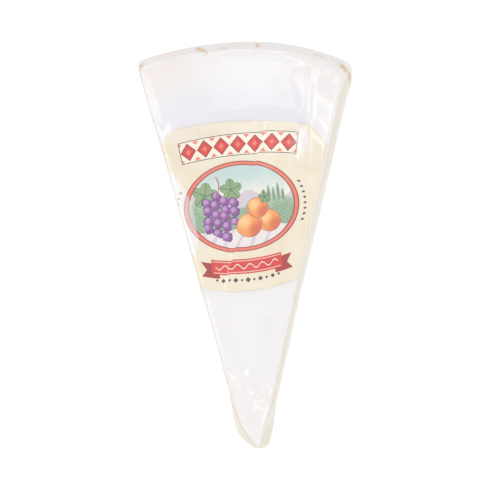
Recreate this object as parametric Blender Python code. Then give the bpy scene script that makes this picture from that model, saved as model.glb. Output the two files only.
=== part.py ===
"""A wedge cut from a large flat wheel of soft white-rind cheese, wrapped tight in clear film, with a
paper label on its top rind.

Lengths are in metres and +Z is up. The wedge lies flat on its underside with the label up. Its shape
is worked out round the centre of the wheel that it was cut from: a radius is a distance from that
centre, the rim of the wheel looks along +Y, and the thin end points along -Y. The finished pieces are
then moved so that the origin is the middle of the underside.
"""

import math
from typing import NamedTuple

import bmesh
import bpy
from mathutils import Matrix, Vector

# The wheel
WHEEL_RADIUS = 0.1809
WHEEL_THICKNESS = 0.030
RIM_SLUMP_LEFT = 0.0018     # how far the rim has sunk in at the two corners, where the cuts opened it
RIM_SLUMP_RIGHT = 0.0070

# The blunt thin end, which soft paste has spread
END_RADIUS_TOP = 0.0158
END_RADIUS_FOOT = 0.0123
END_DROP = 0.005            # how far the top rind droops there
DROOP_RANGE = (0.009, 0.050)        # the radii between which it droops

# The soft rounding of the edges: how far it reaches in from each face
CUT_ROUNDING = 0.0016
RIM_ROUNDING = 0.006
END_ROUNDING = 0.0026
CUT_ROUNDING_UP = 0.0030
RIM_ROUNDING_UP = 0.0085
END_ROUNDING_UP = 0.0065
ROUNDING_BLEND = 0.016      # the stretch in which one height of rounding turns into the next

# The relief of the top rind
CORNER_SAG = 0.0022         # the right-hand corner of the rim has sunk
CORNER_SAG_REACH = 0.026
CROWN = 0.0004              # the middle stands this much over the cut edges
NARROWEST_CROWN = 0.004     # half the width of the narrowest place that has a crown
WAVE_HEIGHT = 0.00018
WAVE_LENGTH = 0.041
WAVE_SLANT = 0.6            # the waves run at a slant to the middle line
WAVE_CROSSING = 0.8         # how many waves cross them in the same length

CUT_BELLY = 0.0005          # the paste swells this far out of a cut face at half height

# The label
LABEL_TOP_RADIUS = 0.148
LABEL_BOWL_RADIUS = 0.052   # its lower edge is an arc of this radius
LABEL_BOWL_X = -0.0037
LABEL_BOWL_Y = 0.1313
LABEL_INSET = 0.0006        # between its side edges and the cut faces
LABEL_THICKNESS = 0.0003
LABEL_GAP = 0.0003

# The mesh of the wedge, as a block of cells, and the share of the block that an edge's rounding takes
CELLS_ACROSS = 20
CELLS_ALONG = 54
CELLS_UP = 10
SHARE_ACROSS = 0.2
SHARE_ALONG = 0.11
SHARE_UP = 0.6
CROWDING = 1.35             # over 1, the cells are shorter towards the thin end
LABEL_CELLS_ACROSS = 30
LABEL_CELLS_ALONG = 18
LABEL_SHARE_ACROSS = 0.2
SMOOTH_ANGLE = math.radians(40)

# The materials: linear red, green and blue, and roughness
FILM_OVER_CHEESE = (0.86, 0.84, 0.81)
FILM_ROUGHNESS = 0.25
LABEL_CREAM = (0.83, 0.76, 0.62)
LABEL_ROUGHNESS = 0.6


class CutFace(NamedTuple):
    """One of the two cut faces, as the lines that its top edge and its foot follow."""

    half_angle: float               # between the middle line and the top edge
    waist: float                    # how far the face stands in over the thin part of the wedge
    waist_range: tuple              # the radii where that fades out
    lean: float                     # how far the foot stands out beyond the top edge
    lean_at_rim: float              # the same at the rim
    spread: float                   # how much further out the paste has spread at the thin end
    spread_range: tuple             # the radii where that fades out
    pull: float                     # how far the film has pulled the top edge in there
    corner_spread: float            # how far the corner of the rim has spread
    end_top: float                  # where the top edge meets the blunt end, out from the middle line
    end_foot: float
    taper_top: float                # how fast each widens from there
    taper_foot: float


class LabelCorner(NamedTuple):
    """An upper corner of the label, cut off at a slant."""

    start: float                    # where the slant starts, as a share of the half width
    drop: float                     # how far it has come down at the side edge


LEFT = CutFace(
    half_angle=math.radians(13.95), waist=0.0005, waist_range=(0.140, 0.158), lean=0.0014,
    lean_at_rim=0.0014, spread=0.0029, spread_range=(0.024, 0.046), pull=0.0, corner_spread=0.0,
    end_top=-0.0010, end_foot=0.0019, taper_top=0.63, taper_foot=0.83,
)
RIGHT = CutFace(
    half_angle=math.radians(13.95), waist=0.0007, waist_range=(0.075, 0.112), lean=0.0014,
    lean_at_rim=0.0024, spread=0.0010, spread_range=(0.020, 0.033), pull=0.0008, corner_spread=0.0010,
    end_top=0.0028, end_foot=0.0028, taper_top=0.60, taper_foot=1.10,
)
LABEL_LEFT = LabelCorner(start=0.83, drop=0.0045)
LABEL_RIGHT = LabelCorner(start=0.73, drop=0.0075)
LEAN_RANGE = (0.085, 0.165)
CORNER_RANGE = (0.162, 0.171)
EDGE_SOFTNESS = 0.0012      # how softly a tapering edge turns into the straight one


def smooth_step(low, high, value):
    """0 below low, 1 above high, and a smooth rise between them."""
    share = min(max((value - low) / (high - low), 0.0), 1.0)
    return share * share * (3 - 2 * share)


def mix(start, end, share):
    return start + (end - start) * share


def soft_minimum(first, second, softness):
    """The smaller of two lengths, with a rounded turn where they cross."""
    share = min(max(0.5 + (second - first) / (4 * softness), 0.0), 1.0)
    return mix(second, first, share) - 2 * softness * share * (1 - share)


def edge_out(face, radius, level):
    """How far a cut face stands out from the middle line, at a radius and a level from 0, the foot,
    to 1, the top edge."""
    straight = radius * math.sin(face.half_angle)
    straight -= face.waist * (1 - smooth_step(*face.waist_range, radius))
    straight += face.corner_spread * smooth_step(*CORNER_RANGE, radius)
    near_end = 1 - smooth_step(*face.spread_range, radius)
    lean = mix(face.lean, face.lean_at_rim, smooth_step(*LEAN_RANGE, radius))
    top = soft_minimum(
        straight - face.pull * near_end,
        face.end_top + face.taper_top * (radius - END_RADIUS_TOP),
        EDGE_SOFTNESS,
    )
    foot = soft_minimum(
        straight + lean + face.spread * near_end,
        face.end_foot + face.taper_foot * (radius - END_RADIUS_FOOT),
        EDGE_SOFTNESS,
    )
    return mix(foot, top, level) + CUT_BELLY * math.sin(math.pi * level)


def rim_radius(across):
    """The radius of the rim, from -1 at the left cut face to 1 at the right one."""
    slump = RIM_SLUMP_RIGHT if across > 0 else RIM_SLUMP_LEFT
    return WHEEL_RADIUS - slump * across * across


def top_height(x, radius):
    """The height of the top rind over a place on the plan."""
    droop = END_DROP * (1 - smooth_step(*DROOP_RANGE, radius))
    corner_x = edge_out(RIGHT, WHEEL_RADIUS, 1.0)
    to_corner = math.hypot(x - corner_x, radius - WHEEL_RADIUS)
    sag = CORNER_SAG * (1 - smooth_step(0.0, CORNER_SAG_REACH, to_corner))
    half_width = max(edge_out(RIGHT, radius, 1.0), NARROWEST_CROWN)
    fall_to_edge = CROWN * min(abs(x) / half_width, 1.0) ** 2
    turn = 2 * math.pi / WAVE_LENGTH
    wave = math.sin(turn * (radius + WAVE_SLANT * x)) * math.cos(turn * WAVE_CROSSING * x)
    return WHEEL_THICKNESS - droop - sag - fall_to_edge + WAVE_HEIGHT * wave


def in_from_face(position, share):
    """Splits a block coordinate from -1 to 1 into how much of the plain middle it has crossed, from
    0 to 1, and how far into the rounding at the face it is, from 0 to 1."""
    middle = 1 - share
    size = abs(position)
    return min(size, middle) / middle, max(size - middle, 0.0) / share


def rounded(parts):
    """Turns three steps into the rounding, as of a square edge, into those of a round one."""
    longest = max(parts)
    if longest == 0:
        return parts
    length = math.sqrt(sum(part * part for part in parts))
    return [part * longest / length for part in parts]


def wedge_point(block_point):
    """Where a point of the block, whose sides run from -1 to 1, lies on the wedge."""
    across, along, up = block_point
    core_across, in_across = in_from_face(across, SHARE_ACROSS)
    core_along, in_along = in_from_face(along, SHARE_ALONG)
    core_up, in_up = in_from_face(up, SHARE_UP)
    in_across, in_along, in_up = rounded([in_across, in_along, in_up])

    # Along the wedge
    level_guess = (up + 1) / 2
    end = mix(END_RADIUS_FOOT, END_RADIUS_TOP, level_guess)
    rim = rim_radius(across)
    start_plain, stop_plain = end + END_ROUNDING, rim - RIM_ROUNDING
    crossed = (math.copysign(core_along, along) + 1) / 2
    radius = mix(start_plain, stop_plain, crossed ** CROWDING)
    radius += in_along * (RIM_ROUNDING if along > 0 else -END_ROUNDING)

    # Up: the rounding is taller at the rim and at the thin end
    rounding_up = mix(
        mix(END_ROUNDING_UP, CUT_ROUNDING_UP, smooth_step(end, end + ROUNDING_BLEND, radius)),
        RIM_ROUNDING_UP,
        smooth_step(rim - ROUNDING_BLEND, rim, radius),
    )
    plain_half = 0.5 - rounding_up / WHEEL_THICKNESS
    level = 0.5 + math.copysign(core_up * plain_half + in_up * (0.5 - plain_half), up)

    # Across
    left, right = -edge_out(LEFT, radius, level), edge_out(RIGHT, radius, level)
    middle, half_width = (left + right) / 2, (right - left) / 2
    rounding = min(CUT_ROUNDING, half_width / 2)
    out = core_across * (half_width - rounding) + in_across * rounding
    x = middle + math.copysign(out, across)
    return Vector((x, math.sqrt(radius * radius - x * x), level * top_height(x, radius)))


def edge_drop(inset):
    """How far the rounded top edge has come down, at a distance in from a cut face."""
    near = max(1 - inset / CUT_ROUNDING, 0.0)
    return CUT_ROUNDING_UP * (1 - math.sqrt(1 - near * near))


def label_point(across, along):
    """Where a point of the label's sheet, whose sides run from -1 to 1, lies on the top rind."""
    face, corner = (RIGHT, LABEL_RIGHT) if across > 0 else (LEFT, LABEL_LEFT)
    core_across, in_across = in_from_face(across, LABEL_SHARE_ACROSS)
    past_plain = in_across * (CUT_ROUNDING - LABEL_INSET)

    def out_at(radius):
        return core_across * (edge_out(face, radius, 1.0) - CUT_ROUNDING) + past_plain

    share_out = out_at(LABEL_TOP_RADIUS) / edge_out(face, LABEL_TOP_RADIUS, 1.0)
    past_start = max(share_out - corner.start, 0.0) / (1 - corner.start)
    high = LABEL_TOP_RADIUS - corner.drop * past_start
    low_x = math.copysign(out_at(LABEL_BOWL_Y - LABEL_BOWL_RADIUS), across)
    drop = math.sqrt(LABEL_BOWL_RADIUS ** 2 - (low_x - LABEL_BOWL_X) ** 2)
    low = math.hypot(low_x, LABEL_BOWL_Y - drop)
    radius = mix(low, high, (along + 1) / 2)
    x = math.copysign(out_at(radius), across)
    y = math.sqrt(radius * radius - x * x)
    return Vector((x, y, top_height(x, radius) - edge_drop(CUT_ROUNDING - past_plain) + LABEL_GAP))


def new_object(name, bm, material):
    """A smooth-shaded object from a mesh in progress."""
    bmesh.ops.recalc_face_normals(bm, faces=bm.faces)
    mesh = bpy.data.meshes.new(name)
    bm.to_mesh(mesh)
    bm.free()
    mesh.shade_smooth()
    mesh.set_sharp_from_angle(angle=SMOOTH_ANGLE)
    mesh.materials.append(material)
    thing = bpy.data.objects.new(name, mesh)
    bpy.context.scene.collection.objects.link(thing)
    return thing


def principled(name, colour, roughness):
    """A material with one plain colour."""
    material = bpy.data.materials.new(name)
    material.use_nodes = True
    shader = material.node_tree.nodes["Principled BSDF"]
    shader.inputs["Base Color"].default_value = (*colour, 1.0)
    shader.inputs["Roughness"].default_value = roughness
    shader.inputs["Metallic"].default_value = 0.0
    return material


def cut_into_cells(bm, axis, cells):
    """Cuts the block across one axis into slices of the same thickness."""
    normal = Vector((0, 0, 0))
    normal[axis] = 1
    for cut in range(1, cells):
        place = Vector((0, 0, 0))
        place[axis] = -1 + 2 * cut / cells
        geometry = list(bm.verts) + list(bm.edges) + list(bm.faces)
        bmesh.ops.bisect_plane(bm, geom=geometry, plane_co=place, plane_no=normal)


def build_wedge():
    """The cheese in its film: one closed body."""
    bm = bmesh.new()
    bmesh.ops.create_cube(bm, size=2)
    for axis, cells in enumerate((CELLS_ACROSS, CELLS_ALONG, CELLS_UP)):
        cut_into_cells(bm, axis, cells)
    for vertex in bm.verts:
        vertex.co = wedge_point(vertex.co)
    film = principled("film_over_cheese", FILM_OVER_CHEESE, FILM_ROUGHNESS)
    return new_object("film_wrapped_wedge", bm, film)


def build_label():
    """The paper label: a thin sheet that follows the top rind, cut off flush at both cut faces."""
    bm = bmesh.new()
    bmesh.ops.create_grid(bm, x_segments=LABEL_CELLS_ACROSS, y_segments=LABEL_CELLS_ALONG, size=1)
    for vertex in bm.verts:
        vertex.co = label_point(vertex.co.x, vertex.co.y)
    lower = bm.faces[:]
    raised = bmesh.ops.extrude_face_region(bm, geom=lower, use_keep_orig=True)
    upper = [item for item in raised["geom"] if isinstance(item, bmesh.types.BMVert)]
    bmesh.ops.translate(bm, verts=upper, vec=(0, 0, LABEL_THICKNESS))
    return new_object("paper_label", bm, principled("label_paper", LABEL_CREAM, LABEL_ROUGHNESS))


def middle_of_underside(thing):
    """The middle of the rectangle that an object covers, on the ground."""
    xs = [vertex.co.x for vertex in thing.data.vertices]
    ys = [vertex.co.y for vertex in thing.data.vertices]
    return Vector(((min(xs) + max(xs)) / 2, (min(ys) + max(ys)) / 2, 0))


def main():
    for thing in list(bpy.data.objects):
        bpy.data.objects.remove(thing)
    wedge = build_wedge()
    label = build_label()
    to_origin = Matrix.Translation(-middle_of_underside(wedge))
    for thing in (wedge, label):
        thing.data.transform(to_origin)


main()
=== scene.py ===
"""The look of a film-wrapped wedge of soft white cheese with a paper label.

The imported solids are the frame. The wedge's solid is replaced by the cheese and by the clear film that
is pulled tight round it, and the label's solid by a printed, creased sheet of paper. The form of the
wedge and of the label is worked out here from the same named sizes as in the solids, so that every
piece lies where its solid is. Lengths are in metres unless a name or a comment says otherwise.
"""

import logging
import math
from collections.abc import Callable
from dataclasses import dataclass, field, replace
from enum import Enum

import bpy
import numpy as np
from mathutils import Matrix, Vector, noise


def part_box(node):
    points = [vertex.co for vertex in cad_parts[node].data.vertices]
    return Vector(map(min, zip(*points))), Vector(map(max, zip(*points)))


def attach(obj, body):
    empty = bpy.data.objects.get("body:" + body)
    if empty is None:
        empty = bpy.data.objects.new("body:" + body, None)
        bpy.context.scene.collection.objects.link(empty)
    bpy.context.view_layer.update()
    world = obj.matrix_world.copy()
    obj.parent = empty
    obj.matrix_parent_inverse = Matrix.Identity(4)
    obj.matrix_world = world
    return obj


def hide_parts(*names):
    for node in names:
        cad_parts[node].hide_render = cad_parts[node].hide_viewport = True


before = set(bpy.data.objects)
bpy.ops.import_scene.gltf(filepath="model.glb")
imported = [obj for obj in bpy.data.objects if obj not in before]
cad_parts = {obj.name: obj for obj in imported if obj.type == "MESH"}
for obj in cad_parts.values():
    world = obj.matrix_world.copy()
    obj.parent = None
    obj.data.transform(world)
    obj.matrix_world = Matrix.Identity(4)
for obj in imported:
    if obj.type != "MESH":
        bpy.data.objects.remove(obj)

LOG = logging.getLogger("wedge")
MM = 0.001
Array = np.ndarray
Point = tuple[float, float]
Range = tuple[float, float]
Place = tuple[float, float, float]
Tint = tuple[float, float, float, float]        # a colour in linear light, with its alpha
Motif = tuple[float, float, float, float]       # the place, the size and the lean of a printed thing


# Numbers


def smooth_step(low: float, high: float, value: Array) -> Array:
    """0 below low, 1 above high, and a smooth rise between them."""
    share = np.clip((value - low) / (high - low), 0.0, 1.0)
    return share * share * (3 - 2 * share)


def mix(start: Array, end: Array, share: Array) -> Array:
    """The value that lies a share of the way from start to end."""
    return start + (end - start) * share


def soft_minimum(first: Array, second: Array, softness: float) -> Array:
    """The smaller of two lengths, with a rounded turn where they cross."""
    share = np.clip(0.5 + (second - first) / (4 * softness), 0.0, 1.0)
    return mix(second, first, share) - 2 * softness * share * (1 - share)


def between(rise: Range, fall: Range, value: Array) -> Array:
    """1 between a rise and a fall, and 0 outside them, with smooth flanks."""
    return smooth_step(*rise, value) * (1 - smooth_step(*fall, value))


def level_places(x: Array, y: Array) -> Array:
    """Places at a height of zero, one row each."""
    return np.column_stack([x, y, np.zeros(len(x))])


def in_from_face(position: Array, share: float) -> tuple[Array, Array]:
    """Splits a block coordinate into its way across the plain middle and into the rounding.

    Args:
        position: block coordinates from -1 to 1.
        share: how much of the block the rounding at a face takes.

    Returns:
        How much of the plain middle is crossed and how much of the rounding, both from 0 to 1.
    """
    middle = 1 - share
    size = np.abs(position)
    return np.minimum(size, middle) / middle, np.maximum(size - middle, 0.0) / share


def rounded(*parts: Array) -> list[Array]:
    """Turns three steps into the rounding, as of a square edge, into those of a round one.

    Args:
        parts: how far into the rounding the points are along each axis, from 0 to 1.

    Returns:
        The steps of a round edge.
    """
    longest = np.maximum.reduce(parts)
    length = np.sqrt(sum(part * part for part in parts))
    shrink = np.divide(longest, length, out=np.ones_like(length), where=length > 0)
    return [part * shrink for part in parts]


def wobble(places: Array, grain: Place, seed: float) -> Array:
    """Smooth noise from about -1 to 1 over places, with lumps of the grain's size along each axis."""
    scaled = places / np.array(grain) + seed * np.array((1.7, 2.3, 3.1))
    return np.array([noise.noise(place) for place in scaled.tolist()])


# Meshes


def take(thing: bpy.types.Object) -> None:
    """Deselects everything, then selects one object and makes it the active one.

    Args:
        thing: the object.
    """
    bpy.ops.object.select_all(action="DESELECT")
    thing.select_set(True)
    bpy.context.view_layer.objects.active = thing


def rows_of(items: bpy.types.bpy_prop_collection, name: str) -> Array:
    """Three numbers of each item of a mesh.

    Args:
        items: the vertices or their normals.
        name: what is read of each.

    Returns:
        The numbers, one row each.
    """
    numbers = np.empty(len(items) * 3)
    items.foreach_get(name, numbers)
    return numbers.reshape(-1, 3)


def points_of(thing: bpy.types.Object) -> Array:
    """The places of a mesh's vertices, one row each."""
    return rows_of(thing.data.vertices, "co")


def normals_of(thing: bpy.types.Object) -> Array:
    """The normals at a mesh's vertices, one row each."""
    return rows_of(thing.data.vertex_normals, "vector")


def move_points(thing: bpy.types.Object, places: Array) -> None:
    """Moves a mesh's vertices to the given places."""
    thing.data.vertices.foreach_set("co", places.ravel())
    thing.data.update()


def paint(thing: bpy.types.Object, name: str, values: Array) -> None:
    """Stores a number at each vertex, for a material to read."""
    layer = thing.data.attributes.new(name, "FLOAT", "POINT")
    layer.data.foreach_set("value", np.asarray(values, dtype=np.float32))


def slice_block(thing: bpy.types.Object, axis: int, slices: int) -> None:
    """Cuts a block across one axis into slices of the same thickness, in edit mode.

    Args:
        thing: the block.
        axis: 0, 1 or 2, the axis that runs through the slices.
        slices: how many there are to be.
    """
    take(thing)
    mesh = thing.data
    places = points_of(thing)
    ends = np.empty(len(mesh.edges) * 2, dtype=np.int64)
    mesh.edges.foreach_get("vertices", ends)
    ends = ends.reshape(-1, 2)
    steps = np.abs(places[ends[:, 1]] - places[ends[:, 0]])
    chosen = steps.argmax(axis=1) == axis
    mesh.vertices.foreach_set("select", np.zeros(len(mesh.vertices), dtype=bool))
    mesh.polygons.foreach_set("select", np.zeros(len(mesh.polygons), dtype=bool))
    mesh.edges.foreach_set("select", chosen)
    bpy.context.tool_settings.mesh_select_mode = (False, True, False)
    bpy.ops.object.mode_set(mode="EDIT")
    bpy.ops.mesh.subdivide(number_cuts=slices - 1)
    bpy.ops.object.mode_set(mode="OBJECT")


def sliced_block(name: str, slices: tuple[int, int, int]) -> bpy.types.Object:
    """A block two metres wide, cut into slices across each axis, ready to be shaped.

    Args:
        name: the object's name.
        slices: how many slices there are across each axis.

    Returns:
        The block.
    """
    bpy.ops.mesh.primitive_cube_add(size=2)
    block = bpy.context.object
    block.name = block.data.name = name
    for axis, number in enumerate(slices):
        slice_block(block, axis, number)
    return block


def smooth_shaded(thing: bpy.types.Object) -> None:
    """Shades an object smooth, with its normals outward.

    Args:
        thing: the object.
    """
    take(thing)
    bpy.ops.object.mode_set(mode="EDIT")
    bpy.ops.mesh.select_all(action="SELECT")
    bpy.ops.mesh.normals_make_consistent(inside=False)
    bpy.ops.object.mode_set(mode="OBJECT")
    bpy.ops.object.shade_smooth()


def apply_modifier(thing: bpy.types.Object, kind: str, **settings: object) -> None:
    """Adds a modifier with its settings and applies it.

    Args:
        thing: the object.
        kind: the modifier's type.
        settings: its settings by name.
    """
    take(thing)
    modifier = thing.modifiers.new(kind.lower(), kind)
    for name, value in settings.items():
        setattr(modifier, name, value)
    bpy.ops.object.modifier_apply(modifier=modifier.name)


# Form


@dataclass(frozen=True)
class CutFace:
    """One of the two cut faces, as the lines that its top edge and its foot follow."""

    half_angle: float
    waist: float
    waist_range: Range
    lean: float
    lean_at_rim: float
    spread: float
    spread_range: Range
    pull: float
    corner_spread: float
    end_top: float
    end_foot: float
    taper_top: float
    taper_foot: float


LEFT = CutFace(
    half_angle=math.radians(13.95), waist=0.0005, waist_range=(0.140, 0.158), lean=0.0014,
    lean_at_rim=0.0014, spread=0.0029, spread_range=(0.024, 0.046), pull=0.0, corner_spread=0.0,
    end_top=-0.0010, end_foot=0.0019, taper_top=0.63, taper_foot=0.83,
)
RIGHT = CutFace(
    half_angle=math.radians(13.95), waist=0.0007, waist_range=(0.075, 0.112), lean=0.0014,
    lean_at_rim=0.0024, spread=0.0010, spread_range=(0.020, 0.033), pull=0.0008, corner_spread=0.0010,
    end_top=0.0028, end_foot=0.0028, taper_top=0.60, taper_foot=1.10,
)


@dataclass(frozen=True)
class WedgeForm:
    """The form of the wedge, in the sizes of its solid.

    It is worked out round the middle of the wheel that the wedge was cut from: a radius is a distance
    from there, and x is the distance from the wedge's middle line.
    """

    wheel_radius: float = 0.1809
    wheel_thickness: float = 0.030
    rim_slump_left: float = 0.0018
    rim_slump_right: float = 0.0070
    end_radius_top: float = 0.0158
    end_radius_foot: float = 0.0123
    end_drop: float = 0.005
    droop_range: Range = (0.009, 0.050)
    cut_rounding: float = 0.0016
    rim_rounding: float = 0.006
    end_rounding: float = 0.0026
    cut_rounding_up: float = 0.0030
    rim_rounding_up: float = 0.0085
    end_rounding_up: float = 0.0065
    rounding_blend: float = 0.016
    corner_sag: float = 0.0022
    corner_sag_reach: float = 0.026
    crown: float = 0.0004
    narrowest_crown: float = 0.004
    wave_height: float = 0.00018
    wave_length: float = 0.041
    wave_slant: float = 0.6
    wave_crossing: float = 0.8
    cut_belly: float = 0.0005
    lean_range: Range = (0.085, 0.165)
    corner_range: Range = (0.162, 0.171)
    edge_softness: float = 0.0012
    share_across: float = 0.2
    share_along: float = 0.11
    share_up: float = 0.6
    crowding: float = 1.35

    def edge_out(self, face: CutFace, radius: Array, level: Array) -> Array:
        """How far a cut face stands out from the middle line.

        Args:
            face: the cut face.
            radius: the distance from the wheel's middle.
            level: from 0, the foot, to 1, the top edge.

        Returns:
            The distance from the middle line.
        """
        straight = radius * math.sin(face.half_angle)
        straight = straight - face.waist * (1 - smooth_step(*face.waist_range, radius))
        straight = straight + face.corner_spread * smooth_step(*self.corner_range, radius)
        near_end = 1 - smooth_step(*face.spread_range, radius)
        lean = mix(face.lean, face.lean_at_rim, smooth_step(*self.lean_range, radius))
        top = soft_minimum(
            straight - face.pull * near_end,
            face.end_top + face.taper_top * (radius - self.end_radius_top),
            self.edge_softness,
        )
        foot = soft_minimum(
            straight + lean + face.spread * near_end,
            face.end_foot + face.taper_foot * (radius - self.end_radius_foot),
            self.edge_softness,
        )
        return mix(foot, top, level) + self.cut_belly * np.sin(math.pi * level)

    def top_edge(self, right: Array, radius: Array) -> Array:
        """How far out from the middle line the top rind ends, right or left of it."""
        return np.where(right, self.edge_out(RIGHT, radius, 1.0), self.edge_out(LEFT, radius, 1.0))

    def top_height(self, x: Array, radius: Array) -> Array:
        """The height of the top rind over a place on the plan.

        Args:
            x: the distance from the middle line.
            radius: the distance from the wheel's middle.

        Returns:
            The height.
        """
        droop = self.end_drop * (1 - smooth_step(*self.droop_range, radius))
        corner_x = self.edge_out(RIGHT, self.wheel_radius, 1.0)
        to_corner = np.hypot(x - corner_x, radius - self.wheel_radius)
        sag = self.corner_sag * (1 - smooth_step(0.0, self.corner_sag_reach, to_corner))
        half_width = np.maximum(self.edge_out(RIGHT, radius, 1.0), self.narrowest_crown)
        fall_to_edge = self.crown * np.minimum(np.abs(x) / half_width, 1.0) ** 2
        turn = 2 * math.pi / self.wave_length
        wave = np.sin(turn * (radius + self.wave_slant * x)) * np.cos(turn * self.wave_crossing * x)
        return self.wheel_thickness - droop - sag - fall_to_edge + self.wave_height * wave

    def place(self, block: Array) -> Array:
        """Where points of the block, whose sides run from -1 to 1, lie on the wedge.

        Args:
            block: the points, one row each.

        Returns:
            Their places, round the wheel's middle.
        """
        across, along, up = block.T
        core_across, in_across = in_from_face(across, self.share_across)
        core_along, in_along = in_from_face(along, self.share_along)
        core_up, in_up = in_from_face(up, self.share_up)
        in_across, in_along, in_up = rounded(in_across, in_along, in_up)

        end = mix(self.end_radius_foot, self.end_radius_top, (up + 1) / 2)
        slump = np.where(across > 0, self.rim_slump_right, self.rim_slump_left)
        rim = self.wheel_radius - slump * across * across
        crossed = (np.copysign(core_along, along) + 1) / 2
        radius = mix(end + self.end_rounding, rim - self.rim_rounding, crossed ** self.crowding)
        radius = radius + in_along * np.where(along > 0, self.rim_rounding, -self.end_rounding)

        from_end = np.clip((radius - end) / self.rounding_blend, 0.0, 1.0)
        from_rim = np.clip((radius - rim) / self.rounding_blend + 1, 0.0, 1.0)
        rounding_up = mix(
            mix(self.end_rounding_up, self.cut_rounding_up, smooth_step(0, 1, from_end)),
            self.rim_rounding_up,
            smooth_step(0, 1, from_rim),
        )
        plain_half = 0.5 - rounding_up / self.wheel_thickness
        level = 0.5 + np.copysign(core_up * plain_half + in_up * (0.5 - plain_half), up)

        left = -self.edge_out(LEFT, radius, level)
        right = self.edge_out(RIGHT, radius, level)
        middle, half_width = (left + right) / 2, (right - left) / 2
        rounding = np.minimum(self.cut_rounding, half_width / 2)
        out = core_across * (half_width - rounding) + in_across * rounding
        x = middle + np.copysign(out, across)
        y = np.sqrt(radius * radius - x * x)
        return np.stack([x, y, level * self.top_height(x, radius)], axis=1)

    def middle_on_row(self, node: str) -> Array:
        """Where the wheel's middle lies in the row frame, from the box of the wedge's solid.

        Args:
            node: the name of the solid.

        Returns:
            The place, with a height of zero.
        """
        steps = np.linspace(-1, 1, 161)
        across, along, up = np.meshgrid(steps, steps, np.linspace(-1, 1, 21), indexing="ij")
        block = np.stack([across.ravel(), along.ravel(), up.ravel()], axis=1)
        places = self.place(block[np.abs(block).max(axis=1) >= 1])
        own_middle = (places.min(axis=0) + places.max(axis=0)) / 2
        low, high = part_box(node)
        shift = (np.array(low) + np.array(high)) / 2 - own_middle
        return np.array((shift[0], shift[1], 0.0))


FORM = WedgeForm()
WHEEL_MIDDLE = FORM.middle_on_row("film_wrapped_wedge")


# Relief


@dataclass(frozen=True)
class Crease:
    """A crease along a line of points, in millimetres."""

    points: tuple[Point, ...]
    height: float
    width: float
    wander: float = 0.4     # how far the line strays from its points
    fade: float = 0.2       # the share of its length in which each end fades
    bends: Point = (3.2, 1.1)   # the lengths of its large and small bends

    def lift(self, plan: Array) -> Array:
        """How high the crease stands at places of the plan.

        Args:
            plan: the places in millimetres, one row of two or three numbers each.

        Returns:
            The heights in millimetres.
        """
        flat = level_places(plan[:, 0], plan[:, 1])
        margin = 6 * self.width + 2     # the crease doesn't reach further than this
        low, high = np.min(self.points, axis=0) - margin, np.max(self.points, axis=0) + margin
        near = np.all((flat[:, :2] > low) & (flat[:, :2] < high), axis=1)
        heights = np.zeros(len(plan))
        if not near.any():
            return heights
        flat = flat[near]
        large, small = self.bends
        stray = self.wander * wobble(flat, (large, large, large), self.points[0][0])
        stray += 0.4 * self.wander * wobble(flat, (small, small, small), self.points[0][1])
        best = np.full(len(flat), 1e9)
        along = np.zeros(len(flat))
        count = len(self.points) - 1
        for number in range(count):
            start, end = np.array(self.points[number]), np.array(self.points[number + 1])
            step = end - start
            length = np.hypot(*step)
            way = np.clip((flat[:, :2] - start) @ step / length ** 2, 0.0, 1.0)
            side = ((flat[:, 0] - start[0]) * step[1] - (flat[:, 1] - start[1]) * step[0]) / length
            apart = flat[:, :2] - (start + way[:, None] * step)
            distance = np.hypot(apart[:, 0], apart[:, 1])
            distance = np.abs(np.copysign(distance, side) + stray)
            closer = distance < best
            best = np.where(closer, distance, best)
            along = np.where(closer, (number + way) / count, along)
        crest = np.exp(1 - np.sqrt(1 + (best / self.width) ** 2)) - 0.02
        ends = smooth_step(0, self.fade, along) * smooth_step(0, self.fade, 1 - along)
        heights[near] = self.height * np.maximum(crest, 0.0) * ends
        return heights


@dataclass(frozen=True)
class Patch:
    """An oval place with soft edges, in millimetres."""

    middle: Point
    reach: Point            # half its length along each of its own axes
    turn: float = 0.0       # degrees, left about
    strength: float = 1.0
    softness: float = 0.7   # the share of the reach in which it fades

    def own_axes(self, plan: Array) -> tuple[Array, Array]:
        """Places of the plan along the oval's own axes, in millimetres.

        Args:
            plan: the places in millimetres, one row each.

        Returns:
            How far along and how far across the oval they lie.
        """
        angle = math.radians(self.turn)
        x, y = plan[:, 0] - self.middle[0], plan[:, 1] - self.middle[1]
        return x * math.cos(angle) + y * math.sin(angle), y * math.cos(angle) - x * math.sin(angle)

    def cover(self, plan: Array) -> Array:
        """How much of the patch there is at places of the plan, up to its strength.

        Args:
            plan: the places in millimetres, one row each.

        Returns:
            The cover of each place.
        """
        along, across = self.own_axes(plan)
        out = np.hypot(along / self.reach[0], across / self.reach[1])
        return self.strength * (1 - smooth_step(1 - self.softness, 1.0, out))


@dataclass(frozen=True)
class Crumple(Patch):
    """An oval place where the film is crumpled into small sharp facets."""

    grain: Point = (2.4, 2.4)   # the size of a facet along each of its own axes
    seed: float = 0.0
    steepness: float = 2.2      # of the facets beside a ridge

    def facets(self, flat: Array, finer: int, seed: float) -> Array:
        """Facets, some times finer than the grain: 1 on the ridges between them and less beside them."""
        grain = (self.grain[0] / finer, self.grain[1] / finer, 1.0)
        return 1 - np.abs(wobble(flat, grain, seed)) * self.steepness

    def lift(self, plan: Array) -> Array:
        """How high the crumples stand, in millimetres.

        Args:
            plan: the places in millimetres, one row each.

        Returns:
            The height at each place.
        """
        cover = self.cover(plan)
        near = cover > 1e-4
        heights = np.zeros(len(plan))
        if near.any():
            flat = level_places(*self.own_axes(plan[near]))
            coarse, fine = self.facets(flat, 1, self.seed), self.facets(flat, 2, self.seed + 5)
            heights[near] = cover[near] * (0.7 * coarse + 0.3 * fine)
        return heights


# Materials


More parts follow.
